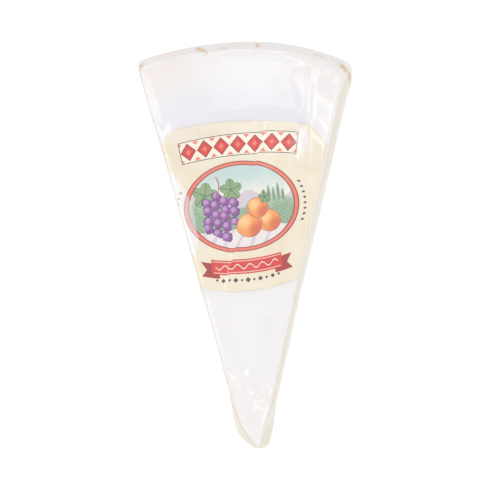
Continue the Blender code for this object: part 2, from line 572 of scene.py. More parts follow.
def colour(red: int, green: int, blue: int) -> Tint:
    """A colour as a picture gives it, from 0 to 255, turned into the shader's linear light.

    Args:
        red: its red part.
        green: its green part.
        blue: its blue part.

    Returns:
        The colour in linear light, with an alpha of 1.
    """

    def linear(part: int) -> float:
        """One part of the colour."""
        share = part / 255
        return share / 12.92 if share <= 0.04045 else ((share + 0.055) / 1.055) ** 2.4

    return linear(red), linear(green), linear(blue), 1.0


def step_of(operation: str, swapped: bool = False) -> Callable[["Term", "Term | float"], "Term"]:
    """One operator of Term.

    Args:
        operation: the step of arithmetic, as a material's nodes call it.
        swapped: whether the other number comes first.

    Returns:
        The method that works it out.
    """

    def method(self: "Term", other: "Term | float") -> "Term":
        """The result for two numbers."""
        return self.sheet.math(operation, *((other, self) if swapped else (self, other)))

    return method


class Term:
    """A number that a material works out at each place, with ordinary arithmetic."""

    def __init__(self, sheet: "NodeSheet", socket: bpy.types.NodeSocket) -> None:
        """Holds the socket that gives the number."""
        self.sheet = sheet
        self.socket = socket

    __add__ = step_of("ADD")
    __radd__ = step_of("ADD", swapped=True)
    __sub__ = step_of("SUBTRACT")
    __rsub__ = step_of("SUBTRACT", swapped=True)
    __mul__ = step_of("MULTIPLY")
    __rmul__ = step_of("MULTIPLY", swapped=True)
    __truediv__ = step_of("DIVIDE")
    most = step_of("MAXIMUM")
    least = step_of("MINIMUM")

    def __abs__(self) -> "Term":
        """The size without its sign."""
        return self.sheet.math("ABSOLUTE", self)

    def sine(self) -> "Term":
        """The sine."""
        return self.sheet.math("SINE", self)

    def rise(self, low: float, high: float) -> "Term":
        """0 at low and 1 at high, with a smooth rise between them. High may be the smaller.

        Args:
            low: where it is 0.
            high: where it is 1.

        Returns:
            The share of the rise.
        """
        rising = float(low < high)
        node = self.sheet.add("ShaderNodeMapRange", interpolation_type="SMOOTHSTEP")
        self.sheet.fill(node, Value=self, From_Min=min(low, high), From_Max=max(low, high),
                        To_Min=1.0 - rising, To_Max=rising)
        return Term(self.sheet, node.outputs["Result"])


class NodeSheet:
    """The nodes of one material, with a short call for each step that a finish is made of."""

    def __init__(self, name: str) -> None:
        """Starts an empty material.

        Args:
            name: the material's name.
        """
        self.material = bpy.data.materials.new(name)
        self.material.use_nodes = True
        self.tree = self.material.node_tree
        self.tree.nodes.clear()
        self.output = self.add("ShaderNodeOutputMaterial")

    def add(self, kind: str, **settings: object) -> bpy.types.Node:
        """Adds a node with its settings.

        Args:
            kind: the node's type.
            settings: its settings by name.

        Returns:
            The node.
        """
        node = self.tree.nodes.new(kind)
        for name, value in settings.items():
            setattr(node, name, value)
        return node

    def put(self, socket: bpy.types.NodeSocket, value: object) -> None:
        """Links a socket to a term or a socket, or sets it to a plain value.

        Args:
            socket: the input.
            value: the term, the other socket or the plain value.
        """
        if isinstance(value, Term):
            value = value.socket
        if isinstance(value, bpy.types.NodeSocket):
            self.tree.links.new(value, socket)
        else:
            socket.default_value = value

    def fill(self, node: bpy.types.Node, **values: object) -> None:
        """Links or sets a node's inputs by name, in which an underscore stands for a space."""
        for name, value in values.items():
            self.put(node.inputs[name.replace("_", " ")], value)

    def fed(self, kind: str, *values: object, **settings: object) -> Term:
        """Adds a node and feeds its first inputs.

        Args:
            kind: the node's type.
            values: what its first inputs are linked or set to.
            settings: its settings by name.

        Returns:
            Its first output.
        """
        node = self.add(kind, **settings)
        for socket, value in zip(node.inputs, values):
            self.put(socket, value)
        return Term(self, node.outputs[0])

    def math(self, operation: str, *values: "Term | float") -> Term:
        """One step of arithmetic."""
        return self.fed("ShaderNodeMath", *values, operation=operation)

    def length(self, x: Term, y: Term) -> Term:
        """The length of a step, from its two parts."""
        return self.math("SQRT", x * x + y * y)

    def place(self, middle: Place = (0, 0, 0), turn: float = 0.0) -> Term:
        """The place on the piece in millimetres, round a point and turned by some degrees.

        Args:
            middle: the point, in metres.
            turn: the degrees, left about.

        Returns:
            The place.
        """
        source = self.add("ShaderNodeTexCoord")
        mapping = self.add("ShaderNodeMapping", vector_type="TEXTURE")
        self.fill(mapping, Vector=source.outputs["Object"], Location=middle,
                  Rotation=(0, 0, math.radians(turn)), Scale=(MM, MM, MM))
        return Term(self, mapping.outputs["Vector"])

    def parts(self, vector: Term) -> tuple[Term, Term, Term]:
        """The three parts of a place.

        Args:
            vector: the place.

        Returns:
            Its parts along x, y and z.
        """
        node = self.add("ShaderNodeSeparateXYZ")
        self.put(node.inputs[0], vector)
        return tuple(Term(self, socket) for socket in node.outputs)

    def joined(self, x: Term, y: Term) -> Term:
        """A place at a height of zero."""
        return self.fed("ShaderNodeCombineXYZ", x, y)

    def painted(self, name: str) -> Term:
        """The number that is stored at the vertices under a name."""
        node = self.add("ShaderNodeAttribute", attribute_type="GEOMETRY", attribute_name=name)
        return Term(self, node.outputs["Fac"])

    def noise(self, place: Term, size: float, detail: float = 2.0, roughness: float = 0.5,
              stretch: Place | None = None) -> Term:
        """Noise from 0 to 1 with lumps of a size in millimetres.

        Args:
            place: where on the piece.
            size: the size of the largest lumps.
            detail: how many times smaller lumps are added.
            roughness: how strong the smaller lumps are.
            stretch: how much longer the lumps are along each axis.

        Returns:
            The noise.
        """
        node = self.add("ShaderNodeTexNoise", noise_dimensions="3D")
        if stretch:
            place = self.fed("ShaderNodeVectorMath", place, stretch, operation="DIVIDE")
        self.fill(node, Vector=place, Scale=1 / size, Detail=detail, Roughness=roughness)
        return Term(self, node.outputs["Fac"])

    def blend(self, share: "Term | float", low: object, high: object) -> Term:
        """A colour that turns from one into another as the share goes from 0 to 1.

        Args:
            share: how far it has turned.
            low: the colour at 0.
            high: the colour at 1.

        Returns:
            The colour.
        """
        node = self.add("ShaderNodeMix", data_type="RGBA")
        self.put(node.inputs[0], share)
        self.put(node.inputs[6], low)
        self.put(node.inputs[7], high)
        return Term(self, node.outputs[2])

    def bump(self, height: Term, depth: float) -> Term:
        """A normal that is bent by a height from 0 to 1, whose full depth is in millimetres.

        Args:
            height: the height.
            depth: how deep a height of 1 is, in millimetres.

        Returns:
            The normal.
        """
        node = self.add("ShaderNodeBump")
        self.fill(node, Strength=1.0, Distance=depth * MM, Height=height)
        return Term(self, node.outputs[0])

    def principled(self, **values: object) -> Term:
        """The shader, with each named input linked or set.

        Args:
            values: the inputs by name, in which an underscore stands for a space.

        Returns:
            The shader's output.
        """
        shader = self.add("ShaderNodeBsdfPrincipled")
        self.fill(shader, **values)
        return Term(self, shader.outputs[0])

    def finish(self, shader: Term) -> bpy.types.Material:
        """Links the shader to the output and gives the material."""
        self.put(self.output.inputs["Surface"], shader)
        return self.material


def dress(thing: bpy.types.Object, material: bpy.types.Material) -> None:
    """Gives an object one material all over."""
    thing.data.materials.clear()
    thing.data.materials.append(material)


@dataclass(frozen=True)
class CheeseFinish:
    """White bloomy rind over ivory paste, with worn ochre places at the rim, and painted shade on the rim
    and on the left cut face.
    """

    rind: Tint = colour(240, 238, 237)
    rind_cool: Tint = colour(234, 232, 238)
    rind_rosy: Tint = colour(239, 230, 229)
    rind_thin: Tint = colour(229, 222, 208)
    # Painted shade: the tint of the rim, which faces sideways.
    rind_rim_shaded: Tint = colour(232, 227, 226)
    # Painted shade: the darker line on the upper part of the rim.
    rim_painted_shade: Tint = colour(196, 187, 176)
    paste: Tint = colour(231, 224, 208)
    paste_ripe: Tint = colour(229, 220, 202)
    paste_core: Tint = colour(236, 231, 220)
    paste_tan: Tint = colour(214, 203, 184)
    ochre: Tint = colour(212, 176, 126)
    brown: Tint = colour(160, 110, 66)
    rind_depth: float = 2.0         # millimetres

    def paste_shade(self, sheet: NodeSheet, depth: Term, wide: Term, streaks: Term) -> Term:
        """The colour of the paste.

        Args:
            sheet: the material's nodes.
            depth: how deep under the rind a place is, in millimetres.
            wide: noise with large lumps.
            streaks: noise that is drawn out along the wedge.

        Returns:
            The colour.
        """
        paste = sheet.blend(depth.rise(5.0, 10.5), self.paste_ripe, self.paste)
        paste = sheet.blend(depth.rise(10.5, 14.5) * 0.7, paste, self.paste_core)
        paste = sheet.blend(streaks.rise(0.35, 0.75) * 0.35, paste, self.paste_core)
        paste = sheet.blend(wide.rise(0.46, 0.66) * 0.35, paste, self.paste_tan)
        # Painted shade: the paste of the left cut face is turned towards tan.
        return sheet.blend(sheet.painted("left_face_shade") * 0.4, paste, self.paste_tan)

    def make(self) -> bpy.types.Material:
        """Builds the material.

        Returns:
            The material.
        """
        sheet = NodeSheet("soft_cheese")
        place = sheet.place()
        wide = sheet.noise(place, 34, detail=1)
        middling = sheet.noise(place, 9, detail=3, roughness=0.6)
        fine = sheet.noise(place, 1.6, detail=4, roughness=0.65)
        velvet = sheet.noise(place, 0.35, detail=3, roughness=0.7)

        tint = sheet.blend(sheet.painted("cool") * wide.rise(0.3, 0.6), self.rind, self.rind_cool)
        tint = sheet.blend(sheet.painted("rosy") * (0.5 + 0.5 * middling), tint, self.rind_rosy)
        thin = middling.rise(0.56, 0.72) * fine.rise(0.45, 0.6) * 0.35
        tint = sheet.blend(thin, tint, self.rind_thin)
        tint = sheet.blend(velvet.rise(0.7, 0.35) * 0.12, tint, self.rind_cool)

        # Painted shade: the rim, which faces sideways, is darkened.
        tint = sheet.blend(sheet.painted("rim") * 0.8, tint, self.rind_rim_shaded)
        # Painted shade: a darker line on the upper part of the rim, where it turns away from above.
        tint = sheet.blend(sheet.painted("rim_shade_line") * wide.rise(0.25, 0.6) * 0.5, tint, self.rim_painted_shade)
        depth = sheet.painted("depth")
        streaks = sheet.noise(place, 3.2, detail=3, stretch=(3.0, 3.0, 0.8))
        paste = self.paste_shade(sheet, depth, wide, streaks)
        under_rind = (depth + (fine - 0.5) * 0.9).rise(self.rind_depth - 0.4, self.rind_depth + 0.4)
        shade = sheet.blend(under_rind, tint, paste)
        flakes = sheet.noise(place, 1.0, detail=3, roughness=0.7)
        worn = sheet.painted("worn") + (flakes - 0.5) * 2.0 + (middling - 0.5) * 0.6
        shade = sheet.blend(worn.rise(0.40, 0.95) * 0.9, shade, self.ochre)
        shade = sheet.blend(worn.rise(1.05, 1.35) * 0.8, shade, self.brown)

        pits = sheet.noise(place, 1.1, detail=1).rise(0.24, 0.36)
        paste_height = pits * 0.7 + streaks * 0.5
        rind_height = fine * 0.9 + velvet * 0.35 + middling
        relief = rind_height + (paste_height - rind_height) * under_rind
        shader = sheet.principled(
            Base_Color=shade,
            Roughness=0.82 - 0.28 * under_rind,
            Normal=sheet.bump(relief, 0.22),
            Subsurface_Weight=0.15,
            Subsurface_Scale=0.004,
            Subsurface_Radius=(1.0, 0.8, 0.6),
        )
        return sheet.finish(shader)


@dataclass(frozen=True)
class FilmFinish:
    """Clear glossy stretch film, with a white haze where it stands off what it wraps."""

    reflected: float = 0.045        # the share of light that it mirrors when seen straight on
    reflected_glancing: float = 0.40
    gloss_roughness: float = 0.09
    most_haze: float = 0.92
    haze_white: Tint = colour(252, 251, 252)
    seen_through: Tint = (0.985, 0.985, 0.985, 1.0)
    seen_along: Tint = (0.89, 0.885, 0.88, 1.0)    # the way through it is longer

    def make(self) -> bpy.types.Material:
        """Builds the material.

        Returns:
            The material.
        """
        sheet = NodeSheet("clear_film")
        place = sheet.place()
        streaks = sheet.noise(place, 2.6, detail=3, roughness=0.6, stretch=(0.6, 2.6, 1.0))
        cloud = sheet.noise(place, 8, detail=2)
        haze = sheet.painted("haze") * (0.35 + 0.8 * streaks + 0.5 * cloud)
        height = streaks * 0.6 + sheet.noise(place, 1.2, detail=2) * 0.25
        normal = sheet.bump(height, 0.015)

        facing = sheet.add("ShaderNodeLayerWeight")
        sheet.fill(facing, Blend=0.5, Normal=normal)
        aside = Term(sheet, facing.outputs["Facing"])
        tint = sheet.blend(aside.rise(0.35, 0.95), self.seen_through, self.seen_along)
        clear = sheet.fed("ShaderNodeBsdfTransparent", tint)
        white = sheet.principled(Base_Color=self.haze_white, Roughness=0.45, Normal=normal)
        hazed = sheet.fed("ShaderNodeMixShader", haze.least(self.most_haze).most(0.0), clear, white)

        gloss = self.gloss_roughness + 0.25 * haze
        mirror = sheet.principled(Base_Color=(1, 1, 1, 1), Metallic=1.0, Roughness=gloss, Normal=normal)
        glancing = sheet.math("POWER", aside, 5.0)
        mirrored = self.reflected + self.reflected_glancing * glancing
        return sheet.finish(sheet.fed("ShaderNodeMixShader", mirrored, hazed, mirror))


# The label's print


class Ink(Enum):
    """The colours of the print."""

    CREAM = colour(239, 228, 206)
    CREAM_PALE = colour(236, 227, 211)
    DARK_RED = colour(138, 34, 34)
    RED = colour(218, 38, 34)
    RED_SHADE = colour(168, 26, 30)
    SALMON = colour(236, 118, 98)
    BROWN = colour(74, 48, 40)
    SKY = colour(240, 238, 226)
    SKY_HIGH = colour(196, 216, 214)
    HILL_FAR = colour(212, 203, 212)
    HILL_NEAR = colour(192, 210, 182)
    HILL_SHADE = colour(150, 178, 150)
    CLOTH = colour(236, 228, 228)
    CLOTH_SHADE = colour(204, 192, 204)
    PURPLE = colour(146, 72, 156)
    PURPLE_DEEP = colour(80, 36, 112)
    PURPLE_LIGHT = colour(206, 160, 214)
    ORANGE = colour(244, 158, 76)
    ORANGE_LIGHT = colour(250, 204, 138)
    BLUSH = colour(214, 92, 62)
    LEAF = colour(138, 168, 118)
    LEAF_SHADE = colour(84, 120, 86)
    AUBURN = colour(172, 92, 78)


class Press:
    """Prints flat shapes over each other. Places and sizes are in millimetres."""

    def __init__(self, sheet: NodeSheet, u: Term, v: Term, ground: object) -> None:
        """Starts with a ground colour.

        Args:
            sheet: the material's nodes.
            u: the place to the right of the print's middle.
            v: the place above it.
            ground: the colour that the shapes are printed over.
        """
        self.sheet = sheet
        self.u = u
        self.v = v
        self.shade = ground

    def over(self, cover: Term, ink: object) -> None:
        """Prints an ink where the cover is 1."""
        self.shade = self.sheet.blend(cover, self.shade, ink.value if isinstance(ink, Ink) else ink)

    def out(self, u: float, v: float, wide: float, high: float) -> Term:
        """How far out of an oval a place is: 0 at its middle and 1 on its edge."""
        return self.sheet.length((self.u - u) / wide, (self.v - v) / high)

    def oval(self, u: float, v: float, wide: float, high: float, soft: float = 0.06) -> Term:
        """The cover of an oval with half its width and height."""
        return self.out(u, v, wide, high).rise(1 + soft / wide, 1 - soft / wide)

    def below(self, line: "Term | float", soft: float = 0.07) -> Term:
        """The cover of all that is below a line."""
        return (self.v - line).rise(soft, -soft)

    def stroke(self, distance: Term, width: float, soft: float = 0.05) -> Term:
        """The cover of a stroke of a width, from the distance to its middle line."""
        return abs(distance).rise(width / 2 + soft, width / 2 - soft)


@dataclass(frozen=True)
class LabelPrint:
    """A made-up print: a row of lozenges, an oval with fruit before hills, and a plain ribbon."""

    oval_middle: Point = (-2.0, 113.4)      # from the wheel's middle, in millimetres
    oval_half: Point = (23.2, 18.4)
    ring: float = 1.6
    turn: float = 3.5                       # degrees, left about
    band_radius: float = 138.7
    band_half: float = 3.8
    lozenge_wide: float = 6.8
    band_end: float = 23.8
    band_middle: float = -2.6
    ribbon_v: float = -24.6
    ribbon_half: Point = (14.2, 3.0)
    pleat_shift: float = 0.55               # how far the paper right of the pleat has moved up
    trees: tuple[Point, ...] = ((9.4, 2.6), (11.4, 3.4), (13.3, 2.9), (15.2, 3.8), (17.0, 2.4))
    leaves: tuple[Motif, ...] = ((-14.4, 5.6, 5.2, 0.5), (-3.6, 7.2, 4.3, 1.5))
    fruits: tuple[Motif, ...] = (
        (10.6, -6.9, 4.5, 0.5), (2.4, -8.2, 4.9, -0.4), (6.4, -1.4, 4.1, 0.3),
    )
    fruit_leaf: Motif = (9.6, 2.6, 2.3, 0.2)
    dots_out: float = 2.6                   # from the oval's edge to the dots beside it
    dots_up: float = 8.5                    # how far they reach above and below its middle
    dots_apart: float = 2.2

    def lozenges(self, press: Press, x: Term, s: Term) -> None:
        """Prints the row of lozenges between two rules, along the label's upper edge.

        Args:
            press: what prints the label.
            x: the place to the right of the wheel's middle.
            s: the place above it.
        """
        sheet = press.sheet
        radius = sheet.length(x, s)
        arc = sheet.math("ARCTAN2", x, s) * self.band_radius - self.band_middle
        up = radius - self.band_radius - arc * math.tan(math.radians(self.turn)) * 0.6
        inside = abs(arc).rise(self.band_end + 0.1, self.band_end - 0.1)
        ground = abs(up).rise(self.band_half + 0.95, self.band_half + 0.85) * inside
        press.over(ground, colour(246, 239, 222))
        half = self.lozenge_wide / 2
        cell = sheet.math("PINGPONG", arc, half)
        lozenge = abs(cell) / half + abs(up) / self.band_half
        press.over(lozenge.rise(0.99, 0.93) * inside, Ink.RED_SHADE)
        press.over(lozenge.rise(0.80, 0.74) * inside, Ink.RED)
        press.over(lozenge.rise(0.36, 0.30) * inside, Ink.SALMON)
        gusset = abs(cell - half) / half + (self.band_half - abs(up)) / self.band_half
        on_band = abs(up).rise(self.band_half + 0.1, self.band_half)
        press.over(gusset.rise(0.40, 0.34) * inside * on_band, Ink.SALMON)
        for offset in (self.band_half + 0.5, -self.band_half - 0.5):
            press.over(press.stroke(up - offset, 0.32) * inside, Ink.BROWN)
        press.over(press.stroke(abs(arc) - self.band_end, 0.32)
                   * abs(up).rise(self.band_half + 0.7, self.band_half + 0.6), Ink.BROWN)

    def landscape(self, press: Press) -> Press:
        """Prints the hills and the sky of the oval.

        Args:
            press: what prints the label.

        Returns:
            What prints the rest of the oval's picture.
        """
        sheet, u, v = press.sheet, press.u, press.v
        wash = sheet.noise(sheet.joined(u, v), 5.0, detail=3, roughness=0.6)
        scene = Press(sheet, u, v, sheet.blend(
            (v + (wash - 0.5) * 7).rise(1.5, 14.0), Ink.SKY.value, Ink.SKY_HIGH.value))
        far = 4.2 + 1.5 * (u * 0.26 + 0.7).sine() + 0.7 * (u * 0.63).sine()
        scene.over(scene.below(far, 0.12), Ink.HILL_FAR)
        scene.over(scene.stroke(v - far, 0.14) * 0.5, Ink.CLOTH_SHADE)
        near = 1.2 + 1.7 * (u * 0.19 - 1.0).sine()
        scene.over(scene.below(near, 0.12), sheet.blend(
            (wash - (v - near) * 0.04).rise(0.35, 0.75), Ink.HILL_NEAR.value, Ink.HILL_SHADE.value))
        rows = sheet.math("PINGPONG", u * 0.9 + v * 1.6 + (v * v) * 0.05, 1.0)
        scene.over(rows.rise(0.62, 0.86) * scene.below(near - 0.8) * 0.45, Ink.LEAF_SHADE)
        for place, tall in self.trees:
            middle = tall * 0.7
            scene.over(scene.oval(place, 1.4 + middle, 0.72, tall, 0.08), Ink.HILL_SHADE)
            scene.over(scene.oval(place + 0.2, 1.0 + middle, 0.38, tall * 0.8, 0.1) * 0.6, Ink.LEAF_SHADE)
        table = -8.6 + 0.9 * (u * 0.17 + 0.4).sine()
        scene.over(scene.below(table), Ink.CLOTH)
        folds = sheet.math("PINGPONG", u * 0.8 - v * 0.5 + wash * 2.0, 2.2)
        scene.over(folds.rise(1.2, 2.2) * scene.below(table - 0.4) * 0.8, Ink.CLOTH_SHADE)
        scene.over(scene.stroke(v - table, 0.2) * 0.8, Ink.AUBURN)
        return scene

    def leaf(self, scene: Press, u: float, v: float, size: float, lean: float) -> None:
        """Prints a lobed leaf with its veins.

        Args:
            scene: what prints the oval's picture.
            u: the place of its middle to the right.
            v: the place of its middle upward.
            size: how far out its lobes reach.
            lean: how far it is turned, in radians.
        """
        sheet = scene.sheet
        x, y = scene.u - u, scene.v - v
        out = sheet.length(x, y)
        angle = sheet.math("ARCTAN2", y, x) + lean
        lobes = abs((angle * 2.5).sine())
        edge = size * (0.66 + 0.34 * lobes) + 0.12 * (angle * 23).sine()
        cover = (out - edge).rise(0.07, -0.07)
        scene.over((out - edge).rise(0.30, 0.18), Ink.LEAF_SHADE)
        scene.over(cover, Ink.LEAF)
        veins = abs((angle * 2.5 + 1.571).sine()) * out
        scene.over(cover * veins.rise(0.75, 0.30) * 0.9, Ink.LEAF_SHADE)

    def grapes(self, scene: Press) -> None:
        """Prints the bunch of grapes: whole round cells whose middles lie in the bunch.

        Args:
            scene: what prints the oval's picture.
        """
        sheet, size = scene.sheet, 3.7
        cells = sheet.add("ShaderNodeTexVoronoi", voronoi_dimensions="2D", feature="F1")
        grid = sheet.joined(scene.u / size, scene.v / size + scene.u * 0.11)
        sheet.fill(cells, Vector=grid, Scale=1.0, Randomness=0.42)
        x, y, _ = sheet.parts(Term(sheet, cells.outputs["Position"]))
        middle_u = x * size
        middle_v = (y - x * size * 0.11) * size
        narrowing = 8.6 + (middle_v + 2.0) * 0.42
        across = (middle_u + 9.0) / narrowing.least(8.4)
        up = (middle_v + 3.4) / 9.8
        bunch = (across * across + up * up).rise(1.0, 0.98)
        own_u, own_v = scene.u - middle_u, scene.v - middle_v
        out = sheet.length(own_u, own_v)
        red, _, _ = sheet.parts(Term(sheet, cells.outputs["Color"]))
        scene.over(bunch * out.rise(2.45, 2.25), Ink.PURPLE_DEEP)
        body = sheet.blend(red * 0.45, Ink.PURPLE.value, Ink.PURPLE_DEEP.value)
        shine = sheet.length(own_u + 0.55, own_v - 0.6)
        body = sheet.blend(shine.rise(1.7, 0.5) * 0.75, body, Ink.PURPLE_LIGHT.value)
        scene.over(bunch * out.rise(1.95, 1.75), body)

    def fruit(self, scene: Press, u: float, v: float, size: float, lean: float) -> None:
        """Prints one round orange fruit with a blush, a light place and a cleft.

        Args:
            scene: what prints the oval's picture.
            u: the place of its middle to the right.
            v: the place of its middle upward.
            size: half its width.
            lean: how far to the right the round of its cleft lies.
        """
        sheet = scene.sheet
        scene.over(scene.oval(u, v, size + 0.22, size * 0.96 + 0.22), Ink.AUBURN)
        glow = scene.out(u - 0.35 * size, v + 0.35 * size, size, size)
        skin = sheet.blend(glow.rise(0.9, 0.1), Ink.ORANGE.value, Ink.ORANGE_LIGHT.value)
        blush = scene.out(u + 0.75 * size, v - 0.55 * size, size, size)
        skin = sheet.blend(blush.rise(1.15, 0.35) * 0.85, skin, Ink.BLUSH.value)
        inside = scene.oval(u, v, size, size * 0.96)
        scene.over(inside, skin)
        cleft = scene.out(u + lean * size * 1.25, v + 0.2 * size, size * 1.3, size * 1.3)
        scene.over(inside * abs(cleft - 1).rise(0.045, 0.015) * 0.8, Ink.BLUSH)

    def medallion(self, press: Press) -> None:
        """Prints the oval with its ring.

        Args:
            press: what prints the label.
        """
        wide, high = self.oval_half
        picture = self.landscape(press)
        for leaf in self.leaves:
            self.leaf(picture, *leaf)
        self.grapes(picture)
        stem = picture.stroke(picture.u + 9.2 + 0.9 * (picture.v * 0.5).sine(), 0.5)
        stem = stem * (picture.v - 9.4).rise(3.6, 3.4) * (picture.v - 4.6).rise(-0.1, 0.1)
        picture.over(stem, Ink.AUBURN)
        for fruit in self.fruits:
            self.fruit(picture, *fruit)
        self.leaf(picture, *self.fruit_leaf)
        out = press.out(0, 0, wide, high)
        scale = (wide + high) / 2
        from_edge = (out - 1) * scale
        press.over(from_edge.rise(0.08, -0.08), picture.shade)
        press.over(press.stroke(from_edge + self.ring / 2, self.ring), Ink.SALMON)
        press.over(press.stroke(from_edge, 0.4), Ink.DARK_RED)
        press.over(press.stroke(from_edge + self.ring, 0.4), Ink.DARK_RED)

    def ribbon(self, press: Press) -> None:
        """Prints a plain swallow-tailed ribbon and small ornaments under it.

        Args:
            press: what prints the label.
        """
        half, tall = self.ribbon_half
        along = abs(press.u)
        up = press.v - self.ribbon_v - 0.0075 * press.u * press.u
        tail_up = up + 1.5
        notch = along - 0.7 * abs(tail_up)
        tails = abs(tail_up).rise(tall + 0.06, tall - 0.06) * notch.rise(half + 2.2, half + 2.0)
        tails = tails * along.rise(half - 3.0, half - 2.9)
        press.over(tails, Ink.RED_SHADE)
        front = abs(up).rise(tall + 0.06, tall - 0.06) * along.rise(half + 0.06, half - 0.06)
        press.over(front, Ink.RED)
        rule = press.stroke(abs(up) - tall + 0.75, 0.26) * along.rise(half - 0.5, half - 0.7)
        press.over(rule, Ink.CREAM_PALE)
        waves = press.stroke(up - 0.9 * (press.u * 1.25).sine(), 0.5) * along.rise(half - 1.4, half - 1.6)
        press.over(waves, Ink.CREAM_PALE)
        for number in range(-5, 6):
            place, size = 2.5 * number, 0.62 if number % 2 else 1.15 - 0.06 * abs(number)
            lozenge = abs(press.u - place) + abs(press.v - (self.ribbon_v - 5.5 + 0.009 * place * place))
            press.over(lozenge.rise(size + 0.05, size - 0.05), Ink.BROWN)

    def side_dots(self, press: Press) -> None:
        """Prints a curved row of dots beside the oval, on both sides.

        Args:
            press: what prints the label.
        """
        wide, high = self.oval_half
        out = press.out(0, 0, wide + self.dots_out, high + self.dots_out)
        ring = (out - 1) * (wide + high) / 2
        sides = abs(press.v).rise(self.dots_up + 0.1, self.dots_up - 0.1)
        from_dot = self.dots_apart / 2 - press.sheet.math("PINGPONG", press.v, self.dots_apart / 2)
        press.over((abs(ring) + from_dot).rise(0.62, 0.52) * sides, Ink.BROWN)


@dataclass(frozen=True)
class PaperFinish:
    """Thin uncoated cream paper, a little damp, with its print and with whitening painted on it for the
    film's glare and haze.
    """

    cream: Tint = Ink.CREAM.value
    cream_pale: Tint = Ink.CREAM_PALE.value
    damp: Tint = colour(233, 219, 189)
    # Painted highlight: a white that stands for the film's glare and haze over the paper.
    haze_glare_white: Tint = colour(240, 238, 237)    # where rind and moisture have whitened it
    print_on_it: LabelPrint = field(default_factory=LabelPrint)

    def make(self) -> bpy.types.Material:
        """Builds the material.

        Returns:
            The material.
        """
        sheet = NodeSheet("label_paper")
        design = self.print_on_it
        middle = (float(WHEEL_MIDDLE[0]), float(WHEEL_MIDDLE[1]), 0.0)
        shift = sheet.painted("pleat") * design.pleat_shift
        x, s, _ = sheet.parts(sheet.place(middle))
        s = s - shift
        oval = (
            middle[0] + design.oval_middle[0] * MM,
            middle[1] + design.oval_middle[1] * MM,
            0.0,
        )
        u, v, _ = sheet.parts(sheet.place(oval, design.turn))
        v = v - shift

        place = sheet.place()
        cloud = sheet.noise(place, 13, detail=3, roughness=0.6)
        fibre = sheet.noise(place, 0.5, detail=3, roughness=0.7, stretch=(2.5, 1.0, 1.0))
        paper = sheet.blend(sheet.painted("pale"), self.cream, self.cream_pale)
        paper = sheet.blend(cloud.rise(0.52, 0.60) * 0.55, paper, self.damp)
        paper = sheet.blend(fibre.rise(0.3, 0.7) * 0.12, paper, self.damp)
        # Painted highlight: whitened patches for the film's glare and haze, over the paper and partly over
        # the print.
        blotch = sheet.noise(place, 7, detail=4, roughness=0.65)
        haze_glare = (sheet.painted("haze_glare") + (blotch - 0.5) * 1.3).rise(0.30, 0.62)
        paper = sheet.blend(haze_glare * 0.95, paper, self.haze_glare_white)

        press = Press(sheet, u, v, paper)
        design.lozenges(press, x, s)
        design.medallion(press)
        design.ribbon(press)
        design.side_dots(press)
        grain = sheet.noise(place, 0.22, detail=2)
        inked = sheet.blend(grain.rise(0.45, 0.8) * 0.10, press.shade, paper)
        inked = sheet.blend(haze_glare * 0.4, inked, self.haze_glare_white)

        height = fibre * 0.6 + cloud * 0.8
        normal = sheet.bump(height, 0.05)
        return sheet.finish(sheet.principled(Base_Color=inked, Roughness=0.62, Normal=normal))


# Pieces


